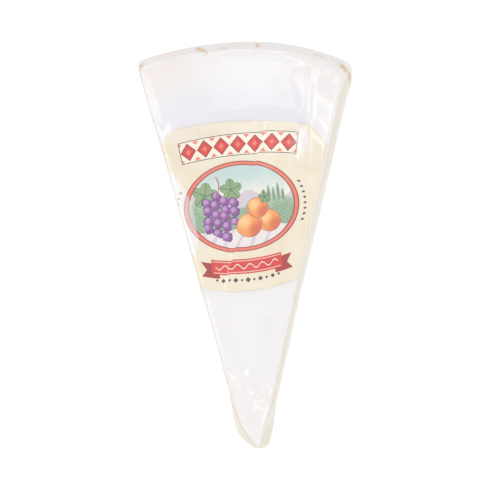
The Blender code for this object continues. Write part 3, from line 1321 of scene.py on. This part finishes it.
@dataclass(frozen=True)
class PaperLabel:
    """The paper label: its outline, its pleat and its cockling."""

    top_radius: float = 0.148
    bowl_radius: float = 0.052
    bowl_middle: Point = (-0.0037, 0.1313)
    inset: float = 0.0006
    thickness: float = 0.00022
    gap: float = 0.0003
    share_across: float = 0.2
    left_start: float = 0.83
    left_drop: float = 0.0045
    right_start: float = 0.73
    right_drop: float = 0.0075
    cells: tuple[int, int] = (130, 118)
    pleat: Crease = Crease(
        points=((8.4, 51.5), (4.3, 35.2), (-1.8, 13.2), (-7.8, -8.8), (-9.5, -18.5)),
        height=0.16, width=0.45, wander=0.3, fade=0.04,
    )
    creases: tuple[Crease, ...] = (
        Crease(points=((24.0, 42.0), (19.0, 30.0), (17.0, 20.0)), height=0.10, width=0.6),
        Crease(points=((27.0, 30.0), (23.0, 14.0), (20.0, 6.0)), height=0.12, width=0.7),
        Crease(points=((-28.0, 30.0), (-22.0, 22.0)), height=0.10, width=0.7),
    )
    cockle: float = 0.05        # the swell of the damp paper, in millimetres
    # Whitening painted on the paper for the film's glare and haze over it: middle, reach, turn, strength
    # and softness of each.
    haze_glare_patches: tuple[Patch, ...] = (
        Patch((-28.6, 13.0), (8.6, 22.0), 14, 1.6, 0.5),
        Patch((-24.0, -8.0), (3.5, 10.0), 14, 0.6, 1.0),
        Patch((-38.0, 44.0), (6.0, 8.0), 0, 0.7, 1.0),
        Patch((23.0, 42.0), (6.0, 13.0), 0, 0.62, 1.0),
        Patch((28.6, 14.0), (3.2, 34.0), -14, 1.3, 0.9),
        Patch((34.0, 34.0), (4.0, 6.0), -14, 0.9, 1.0),
    )

    def upper_edge(self, share_out: Array, right: Array) -> Array:
        """The radius of the label's upper edge, with its slanted corners.

        Args:
            share_out: how far out from the middle line, as a share of the half width.
            right: whether the place is right of the middle line.

        Returns:
            The radius.
        """
        start = np.where(right, self.right_start, self.left_start)
        drop = np.where(right, self.right_drop, self.left_drop)
        return self.top_radius - drop * np.maximum(share_out - start, 0.0) / (1 - start)

    def depth_inside(self, plan: Array) -> Array:
        """How far inside the label's upper and lower edge places in the row frame are.

        Args:
            plan: the places, in metres.

        Returns:
            The distance to the nearer edge, below zero outside.
        """
        x, y = plan[:, 0] - WHEEL_MIDDLE[0], plan[:, 1] - WHEEL_MIDDLE[1]
        radius = np.hypot(x, y)
        half = FORM.top_edge(x > 0, radius)
        upper = self.upper_edge(np.minimum(np.abs(x) / half, 1.0), x > 0)
        to_bowl = np.hypot(x - self.bowl_middle[0], y - self.bowl_middle[1])
        return np.minimum(upper - radius, self.bowl_radius - to_bowl)

    def relief(self, plan: Array) -> Array:
        """How far the paper stands up from lying flat, in metres, at places in the row frame.

        Args:
            plan: the places, in metres.

        Returns:
            The height at each place.
        """
        plan_mm = plan / MM
        flat = level_places(plan_mm[:, 0], plan_mm[:, 1])
        heights = self.pleat.lift(plan_mm)
        for crease in self.creases:
            heights = heights + crease.lift(plan_mm)
        heights = heights + self.cockle * (1 + wobble(flat, (9.0, 12.0, 1.0), 3.0))
        return heights * MM

    def right_of_pleat(self, plan: Array) -> Array:
        """1 for places in the row frame right of the pleat, 0 left of it.

        Args:
            plan: the places, in metres.

        Returns:
            The number for each place.
        """
        line = np.array(sorted(self.pleat.points, key=lambda point: point[1]))
        x_of_pleat = np.interp(plan[:, 1] / MM, line[:, 1], line[:, 0])
        return smooth_step(-0.35, 0.35, plan[:, 0] / MM - x_of_pleat)

    def build(self) -> bpy.types.Object:
        """Models the label: a grid conformed to the rind, then given its thickness.

        Returns:
            The label.
        """
        cells_across, cells_along = self.cells
        bpy.ops.mesh.primitive_grid_add(x_subdivisions=cells_across, y_subdivisions=cells_along, size=2)
        label = bpy.context.object
        label.name = label.data.name = "label"
        across, along, _ = points_of(label).T
        right = across > 0
        core, past = in_from_face(across, self.share_across)
        past = past * (FORM.cut_rounding - self.inset)

        def out_at(radius: Array) -> Array:
            """How far out the points lie at a radius."""
            return core * (FORM.top_edge(right, radius) - FORM.cut_rounding) + past

        top = np.full_like(across, self.top_radius)
        high = self.upper_edge(out_at(top) / FORM.top_edge(right, top), right)
        low_x = np.copysign(out_at(np.full_like(across, self.bowl_middle[1] - self.bowl_radius)), across)
        drop = np.sqrt(self.bowl_radius ** 2 - (low_x - self.bowl_middle[0]) ** 2)
        low = np.hypot(low_x, self.bowl_middle[1] - drop)
        radius = mix(low, high, (along + 1) / 2)
        x = np.copysign(out_at(radius), across)
        y = np.sqrt(radius * radius - x * x)
        near = np.maximum(1 - (FORM.cut_rounding - past) / FORM.cut_rounding, 0.0)
        drop_at_edge = FORM.cut_rounding_up * (1 - np.sqrt(1 - near * near))
        z = FORM.top_height(x, radius) - drop_at_edge + self.gap
        places = np.stack([x, y, z], axis=1) + WHEEL_MIDDLE
        places[:, 2] += self.relief(places)
        move_points(label, places)
        paint(label, "pleat", self.right_of_pleat(places))
        paint(label, "pale", smooth_step(0.118, 0.146, radius) * 0.8)
        # Where the film's glare and haze are painted onto the paper as whitening.
        haze_glare = np.zeros(len(places))
        for patch in self.haze_glare_patches:
            haze_glare = haze_glare + patch.cover(places / MM)
        paint(label, "haze_glare", np.clip(haze_glare, 0, 1))
        apply_modifier(label, "SOLIDIFY", thickness=self.thickness, offset=1.0)
        smooth_shaded(label)
        bpy.ops.object.shade_smooth_by_angle(angle=math.radians(50))
        return label


@dataclass(frozen=True)
class Cheese:
    """The cheese itself, just inside the film."""

    slices: tuple[int, int, int] = (72, 170, 26)
    inset_side: float = 0.00035
    inset_top: float = 0.00012
    inset_foot: float = 0.0006
    raised_under_label: float = 0.00022
    lump_heights: Point = (0.09, 0.05)  # of the rind's large and small lumps, in millimetres
    smear_height: float = 0.10          # of what the knife has smeared over the cut faces
    highest: float = 0.00008            # how far the relief may rise towards the film
    eyes: int = 11
    # How far a normal points out of a face where the face begins, and where it is full.
    facing_up: Range = (0.3, 0.9)
    facing_side: Range = (0.55, 0.9)
    facing_left: Range = (0.35, 0.85)
    facing_rim: Range = (0.25, 0.70)
    # A line of painted shade on the upper part of the rim: the normals and the heights where it lies.
    facing_rim_shade_line: Range = (0.84, 0.985)
    rim_shade_line: tuple[Range, Range] = ((17, 21), (22, 26))    # its heights, in millimetres
    cool_ring: tuple[Range, Range] = ((0.142, 0.150), (0.156, 0.167))   # radii, as those below
    cool_foot: tuple[Range, Range] = ((0.030, 0.050), (0.075, 0.095))
    rim_reach: Range = (0.1765, 0.1795)     # between them the wear of the rim begins
    rim_slump: float = 0.006                # how much nearer the rim is at its right corner
    # The painted rim shade weakens between these distances to the right, in millimetres.
    rim_shade_fade: Range = (8, 26)             # how far right the rim gets paler, in millimetres
    worn_places: tuple[Patch, ...] = (
        Patch((-17.0, 80.6), (4.6, 2.2), turn=-30, strength=0.86),
        Patch((-14.8, 79.0), (2.8, 2.2), strength=0.72),
        Patch((-12.0, 79.0), (1.0, 2.6), strength=0.60),
        Patch((-7.0, 80.8), (4.8, 1.8), strength=0.52),
        Patch((6.2, 81.9), (0.9, 3.2), turn=-24, strength=1.0),
        Patch((5.2, 80.3), (0.8, 2.6), turn=-24, strength=1.1),
        Patch((20.0, 80.0), (4.0, 1.4), turn=-12, strength=0.42),
        Patch((29.2, 77.6), (3.8, 1.4), turn=-25, strength=0.55),
        Patch((32.0, 76.2), (2.8, 1.6), turn=-25, strength=0.55),
        Patch((40.8, 71.4), (4.2, 2.0), turn=-44, strength=0.90),
        Patch((43.6, 67.6), (4.6, 1.8), turn=-80, strength=1.15),
        Patch((43.4, 62.4), (5.6, 1.3), turn=-80, strength=0.85),
        Patch((-42.0, 74.6), (4.0, 1.6), turn=40, strength=0.75),
        Patch((-31.0, 79.4), (11.0, 1.1), turn=14, strength=0.50),
    )

    def build(self) -> bpy.types.Object:
        """Models the cheese from a sliced block and paints where its rind and paste are.

        Returns:
            The cheese.
        """
        cheese = sliced_block("cheese", self.slices)
        block = points_of(cheese)
        places = FORM.place(block) + WHEEL_MIDDLE
        move_points(cheese, places)
        smooth_shaded(cheese)
        normals = normals_of(cheese)
        radius = np.hypot(places[:, 0] - WHEEL_MIDDLE[0], places[:, 1] - WHEEL_MIDDLE[1])

        up = smooth_step(*self.facing_up, normals[:, 2])
        down = smooth_step(*self.facing_up, -normals[:, 2])
        inset = mix(self.inset_side, self.inset_top, up)
        inset = mix(inset, self.inset_foot, down)
        under_label = smooth_step(-0.0016, 0.0, LABEL.depth_inside(places)) * up
        inset = inset - (self.raised_under_label + self.inset_top) * under_label

        millimetres = places / MM
        on_cut = smooth_step(*self.facing_side, np.abs(normals[:, 0]))
        lumps = wobble(millimetres, (7.0, 7.0, 7.0), 1.0) * self.lump_heights[0]
        lumps = lumps + wobble(millimetres, (2.3, 2.3, 2.3), 2.0) * self.lump_heights[1]
        lumps = lumps * (1 - under_label)
        smears = wobble(millimetres, (16.0, 16.0, 3.0), 4.0) * self.smear_height
        smears = smears + self.eye_pits(millimetres) * on_cut
        relief = mix(lumps, smears, on_cut) * MM
        places = places + normals * (np.minimum(relief, self.highest) - inset)[:, None]
        move_points(cheese, places)

        paint(cheese, "depth", self.depth_under_rind(block, places, radius, on_cut))
        paint(cheese, "worn", self.worn(millimetres, radius, block))
        paint(cheese, "cool", self.cool(millimetres, radius))
        paint(cheese, "rosy", self.rosy(millimetres, radius))
        # Painted shade on the left cut face, which faces the key light, darkening its paste towards tan.
        paint(cheese, "left_face_shade", smooth_step(*self.facing_left, -normals[:, 0]))
        # Painted shade on the rim, which faces sideways, weaker towards the right.
        rim_shade_share = 1 - 0.6 * smooth_step(*self.rim_shade_fade, millimetres[:, 0])
        paint(cheese, "rim", smooth_step(*self.facing_rim, normals[:, 1]) * (1 - on_cut) * rim_shade_share)
        # A line of painted shade on the upper part of the rim.
        line = smooth_step(*self.facing_rim_shade_line, normals[:, 1]) * (1 - on_cut)
        paint(cheese, "rim_shade_line", line * between(*self.rim_shade_line, millimetres[:, 2]) * rim_shade_share)
        return cheese

    def eye_pits(self, places: Array) -> Array:
        """The depth of the few shallow eyes in the cut faces, below zero, in millimetres.

        Args:
            places: the places in millimetres, one row each.

        Returns:
            The depth at each place.
        """
        random = np.random.default_rng(7)
        depth = np.zeros(len(places))
        for _ in range(self.eyes):
            y, z = random.uniform(-40, 66), random.uniform(8, 23)
            side = random.choice((-1, 1))
            reach, sink = random.uniform(0.9, 1.9), random.uniform(0.25, 0.5)
            out = np.hypot((places[:, 1] - y) / (reach * 1.4), (places[:, 2] - z) / reach)
            depth = depth - sink * (1 - smooth_step(0.3, 1.0, out)) * (side * places[:, 0] > 0)
        return depth

    def depth_under_rind(self, block: Array, places: Array, radius: Array, on_cut: Array) -> Array:
        """How deep under the nearest rind each point lies, in millimetres: 0 on the rind itself.

        Args:
            block: their coordinates on the block.
            places: their places in metres.
            radius: their distances from the wheel's middle.
            on_cut: how much each lies on a cut face, from 0 to 1.

        Returns:
            The depth of each point.
        """
        x = places[:, 0] - WHEEL_MIDDLE[0]
        top = FORM.top_height(x, radius)
        from_top, from_foot = top - places[:, 2], places[:, 2]
        from_rim = FORM.wheel_radius - radius
        along = block[:, 1]
        cut = np.maximum(on_cut, (along <= -1 + 1e-6).astype(float))
        thin_end = 1 - smooth_step(0.0155, 0.019, radius)
        side = np.maximum(cut, thin_end)
        folded_over = smooth_step(0.056, 0.072, places[:, 1]) * (x > 0)
        depth = np.minimum(np.minimum(from_top, from_foot), from_rim) / MM
        return np.maximum(depth - 0.2, 0.0) * side * (1 - 0.6 * folded_over)

    def worn(self, plan: Array, radius: Array, block: Array) -> Array:
        """How worn the rind is, from 0 to about 1.

        Args:
            plan: the places in millimetres, one row each.
            radius: their distances from the wheel's middle.
            block: their coordinates on the block.

        Returns:
            The wear of each place.
        """
        worn = np.zeros(len(plan))
        for patch in self.worn_places:
            worn = np.maximum(worn, patch.cover(plan) * smooth_step(6, 12, plan[:, 2]))
        to_right = (block[:, 0] > 0) * block[:, 0] ** 2
        on_rim = smooth_step(*self.rim_reach, radius + self.rim_slump * to_right)
        low = 1 - smooth_step(-0.6, 0.7, block[:, 2])
        return np.maximum(worn, on_rim * (0.10 + 0.22 * low))

    def cool(self, plan: Array, radius: Array) -> Array:
        """Where the rind is a little bluish, from 0 to 1."""
        ring = between(*self.cool_ring, radius) * (1 - smooth_step(22, 34, plan[:, 0]))
        return np.clip(ring + 0.25 * between(*self.cool_foot, radius), 0, 1)

    def rosy(self, plan: Array, radius: Array) -> Array:
        """Where the rind is a little pink.

        Args:
            plan: the places in millimetres, one row each.
            radius: their distances from the wheel's middle.

        Returns:
            How pink each place is, from 0 to 1.
        """
        corners = smooth_step(0.158, 0.172, radius) * smooth_step(14, 30, np.abs(plan[:, 0]))
        corners = corners * (1 - 0.8 * smooth_step(0.170, 0.176, radius) * (plan[:, 0] > 0))
        thin_end = 1 - smooth_step(0.030, 0.052, radius)
        return np.clip(corners + 0.35 * thin_end, 0, 1)


@dataclass(frozen=True)
class Film:
    """The clear film, one thin closed skin round the cheese and the label."""

    slices: tuple[int, int, int] = (92, 236, 30)
    over_label: float = 0.00086
    over_rind: float = 0.00050
    wave_height: float = 0.00002        # the film spans the hollows of the rind
    off_cheese: float = 0.00004
    lowest: float = 0.00002             # over the ground
    facing_up: Range = (0.15, 0.75)     # where a face begins and is full, as for the cheese
    facing_down: Range = (0.25, 0.85)
    facing_side: Range = (0.5, 0.9)     # also of the rim
    # Heights of its folds, in millimetres.
    sway: float = 0.035
    side_lines: float = 0.24
    foot_gathers: float = 0.12
    rim_pleats: float = 0.26
    dimple_height: float = 0.50
    dimple_half: float = 2.1            # half its length
    # The haze of flat film, and what folds and gathers add to it.
    plain_haze: float = 0.03
    fold_haze: float = 0.25
    gather_haze: float = 0.34
    # The points, height, width and wander of each, in millimetres.
    creases: tuple[Crease, ...] = (
        Crease(((-1.3, -48.4), (-1.5, -54.0)), 0.38, 0.8, 0.15),
        Crease(((-13.6, -36.0), (-11.2, -44.0), (-8.8, -52.4)), 0.30, 0.6, 0.25),
        Crease(((-41.0, 73.6), (-39.2, 67.0), (-37.4, 60.8), (-32.6, 43.0)), 0.22, 0.6, 0.2),
        Crease(((25.4, 9.5), (22.8, 1.5), (20.4, -6.5)), 0.22, 0.5, 0.2),
        Crease(((0.4, 52.4), (9.5, 53.6), (17.0, 53.4), (24.6, 51.2)), 0.28, 0.7, 0.4),
        Crease(((26.4, 75.0), (26.9, 64.0), (25.4, 52.0), (22.8, 44.0)), 0.26, 0.8, 0.5),
        Crease(((19.6, 72.0), (22.4, 62.0), (24.6, 53.0)), 0.22, 0.8, 0.5),
        Crease(((24.2, 48.6), (22.4, 38.6), (23.6, 29.0)), 0.34, 0.7, 0.8),
        Crease(
            ((-38.8, 76.4), (-30.6, 77.6), (-23.0, 78.8), (-14.0, 77.2), (-6.0, 78.6)),
            0.24, 0.6, 0.8, 0.06,
        ),
        Crease(
            ((2.0, 78.6), (12.0, 77.8), (20.0, 77.0), (28.0, 74.6), (35.2, 72.0), (40.6, 67.4)),
            0.28, 0.7, 0.9, 0.06,
        ),
        Crease(((28.0, 73.2), (34.0, 70.2), (38.4, 66.2)), 0.22, 0.6, 0.9),
    )
    # The middle, reach, turn, strength, softness, grain and seed of each.
    crumples: tuple[Crumple, ...] = (
        Crumple((-3.0, -57.4), (9.0, 4.4), -38, 0.10, 0.9, (3.6, 3.0), 1.0),
        Crumple((23.6, 40.0), (11.0, 3.2), 82, 0.22, 0.8, (2.6, 1.8), 2.0),
        Crumple((24.0, 64.0), (13.0, 5.0), 84, 0.14, 0.8, (4.0, 2.2), 3.0),
        Crumple((-40.0, 71.0), (7.0, 3.0), 70, 0.18, 0.8, (2.6, 1.8), 4.0),
        Crumple((37.0, 70.0), (9.0, 4.5), -35, 0.22, 0.8, (3.0, 2.2), 5.0),
        Crumple((-26.0, 17.0), (16.0, 3.4), 77, 0.12, 0.8, (4.0, 2.0), 6.0),
        Crumple((-16.0, 79.0), (11.0, 2.6), 0, 0.16, 0.8, (2.2, 1.8), 7.0),
    )
    dimples: tuple[Point, ...] = (      # the short gathers near the thin end that catch the light
        (-7.8, -53.4), (-6.4, -56.0), (-4.4, -58.0), (-5.0, -54.6), (-1.4, -57.8), (-2.6, -60.8),
        (-0.2, -62.4), (2.6, -61.2), (5.0, -62.6), (7.0, -57.0),
    )
    # The middle, reach, turn, strength and softness of each.
    hazes: tuple[Patch, ...] = (
        Patch((22.0, 40.0), (6.0, 12.0), 0, 0.16, 1.0),
        Patch((-27.4, 14.0), (4.6, 19.0), 14, 0.20, 1.0),
        Patch((-2.6, -57.0), (9.0, 3.6), -38, 0.16, 1.0),
        Patch((-32.0, 76.0), (12.0, 2.4), 8, 0.16, 1.0),
        Patch((32.0, 71.5), (11.0, 4.0), -26, 0.20, 1.0),
    )

    def build(self) -> bpy.types.Object:
        """Models the film from a sliced block, laid over the form, the label and its own folds.

        Returns:
            The film.
        """
        film = sliced_block("film", self.slices)
        block = points_of(film)
        places = replace(FORM, wave_height=self.wave_height).place(block) + WHEEL_MIDDLE
        move_points(film, places)
        smooth_shaded(film)
        normals = normals_of(film)
        plan = places / MM
        up = smooth_step(*self.facing_up, normals[:, 2])
        down = smooth_step(*self.facing_down, -normals[:, 2])
        side = smooth_step(*self.facing_side, np.abs(normals[:, 0]))
        rim = smooth_step(*self.facing_side, normals[:, 1])

        inside = LABEL.depth_inside(places)
        on_label = smooth_step(-0.0042, 0.0004, inside)
        lift = mix(self.over_rind / MM, self.over_label / MM + LABEL.relief(places) / MM, on_label)
        folds = np.zeros(len(plan))
        for fold in (*self.creases, *map(self.gather, self.dimples), *self.crumples):
            folds = folds + fold.lift(plan)
        folds = folds + self.sway * (1 + wobble(plan, (15.0, 24.0, 15.0), 8.0))
        top_lift = lift + np.maximum(folds, 0.0)

        side_lift = self.side_folds(plan)
        rim_lift = self.rim_folds(plan)
        foot_lift = self.foot_folds(plan)
        total = self.off_cheese / MM + top_lift * up + side_lift * side + rim_lift * rim
        shift = total * (1 - down) - foot_lift * down
        places = places + normals * (shift * MM)[:, None]
        places[:, 2] = np.maximum(places[:, 2], self.lowest)
        move_points(film, places)
        gathers = side_lift * side + 0.7 * rim_lift * rim
        paint(film, "haze", self.haze(plan, up, folds, gathers))
        return film

    def gather(self, place: Point) -> Crease:
        """The short gather whose middle is a place of the plan, in millimetres.

        Args:
            place: the place.

        Returns:
            The gather.
        """
        x, y = place
        ends = ((x, y + self.dimple_half), (x + 0.2, y - self.dimple_half))
        return Crease(ends, self.dimple_height, 0.9, 0.3, 0.3)

    def side_folds(self, plan: Array) -> Array:
        """Slanted lines of tension on the cut faces, and small gathers at their foot, in millimetres.

        Args:
            plan: the places in millimetres, one row each.

        Returns:
            The height at each place.
        """
        y, z = plan[:, 1], plan[:, 2]
        slanted = level_places(y + 0.8 * z, z - 0.5 * y)
        lines = np.exp(-(wobble(slanted, (60.0, 9.0, 1.0), 11.0) / 0.16) ** 2)
        patches = smooth_step(-0.1, 0.4, wobble(plan, (26.0, 26.0, 14.0), 12.0))
        gathers = np.exp(-(wobble(plan, (60.0, 9.0, 24.0), 13.0) / 0.2) ** 2)
        foot = 1 - smooth_step(0.0, 14.0, plan[:, 2])
        return self.side_lines * lines * patches + self.foot_gathers * gathers * foot

    def rim_folds(self, plan: Array) -> Array:
        """Pleats of the film that is folded down over the rim, in millimetres.

        Args:
            plan: the places in millimetres, one row each.

        Returns:
            The height at each place.
        """
        leaning = plan[:, 0] + 0.35 * (30 - plan[:, 2]) * np.sign(plan[:, 0])
        pleats = np.column_stack([leaning, plan[:, 2] * 0, plan[:, 2]])
        sharp = np.exp(-(wobble(pleats, (11.0, 1.0, 70.0), 14.0) / 0.2) ** 2)
        wide = 0.5 + 0.5 * wobble(pleats, (14.0, 1.0, 30.0), 15.0)
        down = smooth_step(2.0, 22.0, 30 - plan[:, 2])
        return self.rim_pleats * sharp * wide * (0.25 + 0.75 * down)

    def foot_folds(self, plan: Array) -> Array:
        """How far the film under the cheese stands off the ground between its folds, in millimetres.

        Args:
            plan: the places in millimetres, one row each.

        Returns:
            The distance at each place.
        """
        seam = 0.30 * smooth_step(-0.5, 0.5, plan[:, 0] - 4.0 - 0.02 * plan[:, 1])
        crumple = np.abs(wobble(plan, (6.0, 9.0, 1.0), 16.0))
        crumple = crumple + 0.5 * np.abs(wobble(plan, (2.4, 3.6, 1.0), 17.0))
        return 0.02 + 0.5 * np.minimum(crumple, 0.6) + 0.1 * seam

    def haze(self, plan: Array, up: Array, folds: Array, gathers: Array) -> Array:
        """How hazy the film is, from 0 to 1.

        Args:
            plan: the places in millimetres, one row each.
            up: how much each faces up.
            folds: the heights of the folds on the top.
            gathers: the heights of the folds elsewhere.

        Returns:
            The haze of each place.
        """
        haze = np.full(len(plan), self.plain_haze)
        for patch in self.hazes:
            haze = haze + patch.cover(plan) * up
        haze = haze + self.fold_haze * smooth_step(0.22, 0.7, folds) * up
        haze = haze + self.gather_haze * smooth_step(0.05, 0.30, gathers)
        return np.clip(haze, 0, 1)


LABEL = PaperLabel()


# The studio


@dataclass(frozen=True)
class SoftLight:
    """A softbox that looks at a point just above the ground."""

    name: str
    place: Place
    size: Point
    watts: float
    aim: Place = (0.0, 0.0, 0.015)

    def build(self) -> None:
        """Adds the light."""
        bpy.ops.object.light_add(type="AREA", location=self.place)
        lamp = bpy.context.object
        lamp.name = self.name
        lamp.data.shape = "RECTANGLE"
        lamp.data.size, lamp.data.size_y = self.size
        lamp.data.energy = self.watts
        towards = Vector(self.aim) - Vector(self.place)
        lamp.rotation_euler = towards.to_track_quat("-Z", "Y").to_euler()


@dataclass(frozen=True)
class Studio:
    """The floor, the lights and the camera, which looks down on the label as in the photograph."""

    world_strength: float = 0.76
    floor_size: float = 5.0
    floor_white: Tint = colour(250, 250, 250)
    floor_glow: float = 0.21
    # The name, place, size and watts of each.
    lights: tuple[SoftLight, ...] = (
        SoftLight("key", (-0.72, 0.10, 1.45), (0.8, 0.8), 5.0),
        SoftLight("fill", (0.50, -1.10, 1.3), (1.0, 1.0), 5.6),
        SoftLight("strip_back", (-0.15, 0.95, 0.9), (0.6, 0.06), 0.9),
        # The film over the top rind mirrors these as soft bands.
        SoftLight("strip_near", (0.28, 0.22, 1.4), (0.08, 0.4), 0.3),
        SoftLight("window_far", (0.11, 0.165, 1.5), (0.26, 0.09), 0.18),
        SoftLight("window_low", (-0.075, -0.085, 1.5), (0.12, 0.13), 0.024),
        # These show up the folds of the film over the cut faces.
        SoftLight("low_right", (0.85, 0.05, 0.17), (0.5, 0.03), 0.19),
        SoftLight("low_left", (-0.85, 0.05, 0.17), (0.5, 0.03), 0.15),
        # More soft bands, over the left half of the top rind.
        SoftLight("window_left", (-0.0865, 0.175, 1.5), (0.045, 0.10), 0.022),
        SoftLight("window_right", (-0.036, 0.145, 1.5), (0.036, 0.15), 0.032),
        SoftLight("window_edge", (-0.150, 0.036, 1.5), (0.036, 0.10), 0.009),
        # And these give its creases their small bright glints.
        SoftLight("spark_left", (-0.50, 0.10, 1.2), (0.03, 0.03), 0.08),
        SoftLight("spark_far", (0.15, 0.60, 1.2), (0.03, 0.03), 0.08),
        SoftLight("spark_right", (0.55, 0.10, 1.2), (0.03, 0.03), 0.08),
        SoftLight("spark_near", (-0.10, -0.45, 1.3), (0.03, 0.03), 0.08),
    )
    distance: float = 0.900             # from the camera to the point that it looks at
    aim: Place = (-0.001415, 0.001052, 0.030)
    roll: float = math.radians(1.82)    # the wedge leans this far left of upright in the picture
    tilt: float = math.radians(3.0)     # the camera stands this far over to the right
    seen_width: float = 0.19776         # how wide the picture is at that point
    sensor: float = 36.0

    def build(self) -> None:
        """Builds the whole studio."""
        self.add_floor()
        for light in self.lights:
            light.build()
        self.add_camera()
        world = bpy.data.worlds.new("studio")
        bpy.context.scene.world = world
        world.use_nodes = True
        background = world.node_tree.nodes["Background"]
        background.inputs["Color"].default_value = (1.0, 1.0, 1.0, 1.0)
        background.inputs["Strength"].default_value = self.world_strength
        bpy.context.scene.view_settings.view_transform = "Standard"

    def add_floor(self) -> None:
        """Adds the floor: a pale sheet, faintly uneven in tone."""
        bpy.ops.mesh.primitive_plane_add(size=self.floor_size)
        floor = bpy.context.object
        floor.name = "floor"
        sheet = NodeSheet("floor_white")
        cloud = sheet.noise(sheet.place(), 300)
        shade = sheet.blend(cloud * 0.1, self.floor_white, (0.92, 0.92, 0.93, 1))
        shader = sheet.principled(
            Base_Color=shade, Roughness=0.9, Emission_Color=(1, 1, 1, 1), Emission_Strength=self.floor_glow
        )
        dress(floor, sheet.finish(shader))

    def add_camera(self) -> None:
        """Adds the camera and makes it the scene's."""
        right_on_ground = Vector((math.cos(self.roll), -math.sin(self.roll), 0))
        upward = Vector((math.sin(self.roll), math.cos(self.roll), 0))
        back = right_on_ground * math.sin(self.tilt) + Vector((0, 0, math.cos(self.tilt)))
        right = upward.cross(back)
        bpy.ops.object.camera_add(location=Vector(self.aim) + back * self.distance)
        camera = bpy.context.object
        turn = Matrix((right, upward, back)).transposed()
        camera.rotation_euler = turn.to_euler()
        camera.data.sensor_width = self.sensor
        camera.data.lens = self.sensor * self.distance / self.seen_width
        camera.data.clip_start, camera.data.clip_end = 0.05, 20
        bpy.context.scene.camera = camera


def add_piece(thing: bpy.types.Object, finish: object, slot: str, *nodes: str) -> None:
    """Dresses a finished piece, makes it ride on the body and reports it.

    Args:
        thing: the piece.
        finish: what makes its material.
        slot: not used.
        nodes: the solids that the piece stands for.
    """
    dress(thing, finish.make())
    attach(thing, "root")
    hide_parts(*nodes)
    LOG.info("%s: %d faces", thing.name, len(thing.data.polygons))


def main() -> None:
    """Builds the pieces in order, then the studio."""
    logging.basicConfig(level=logging.INFO, format="%(name)s: %(message)s")
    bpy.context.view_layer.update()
    add_piece(Cheese().build(), CheeseFinish(), "soft_cheese", "film_wrapped_wedge")
    add_piece(LABEL.build(), PaperFinish(), "label_paper", "paper_label")
    add_piece(Film().build(), FilmFinish(), "clear_film", "film_wrapped_wedge")
    Studio().build()


if __name__ == "__main__":
    main()
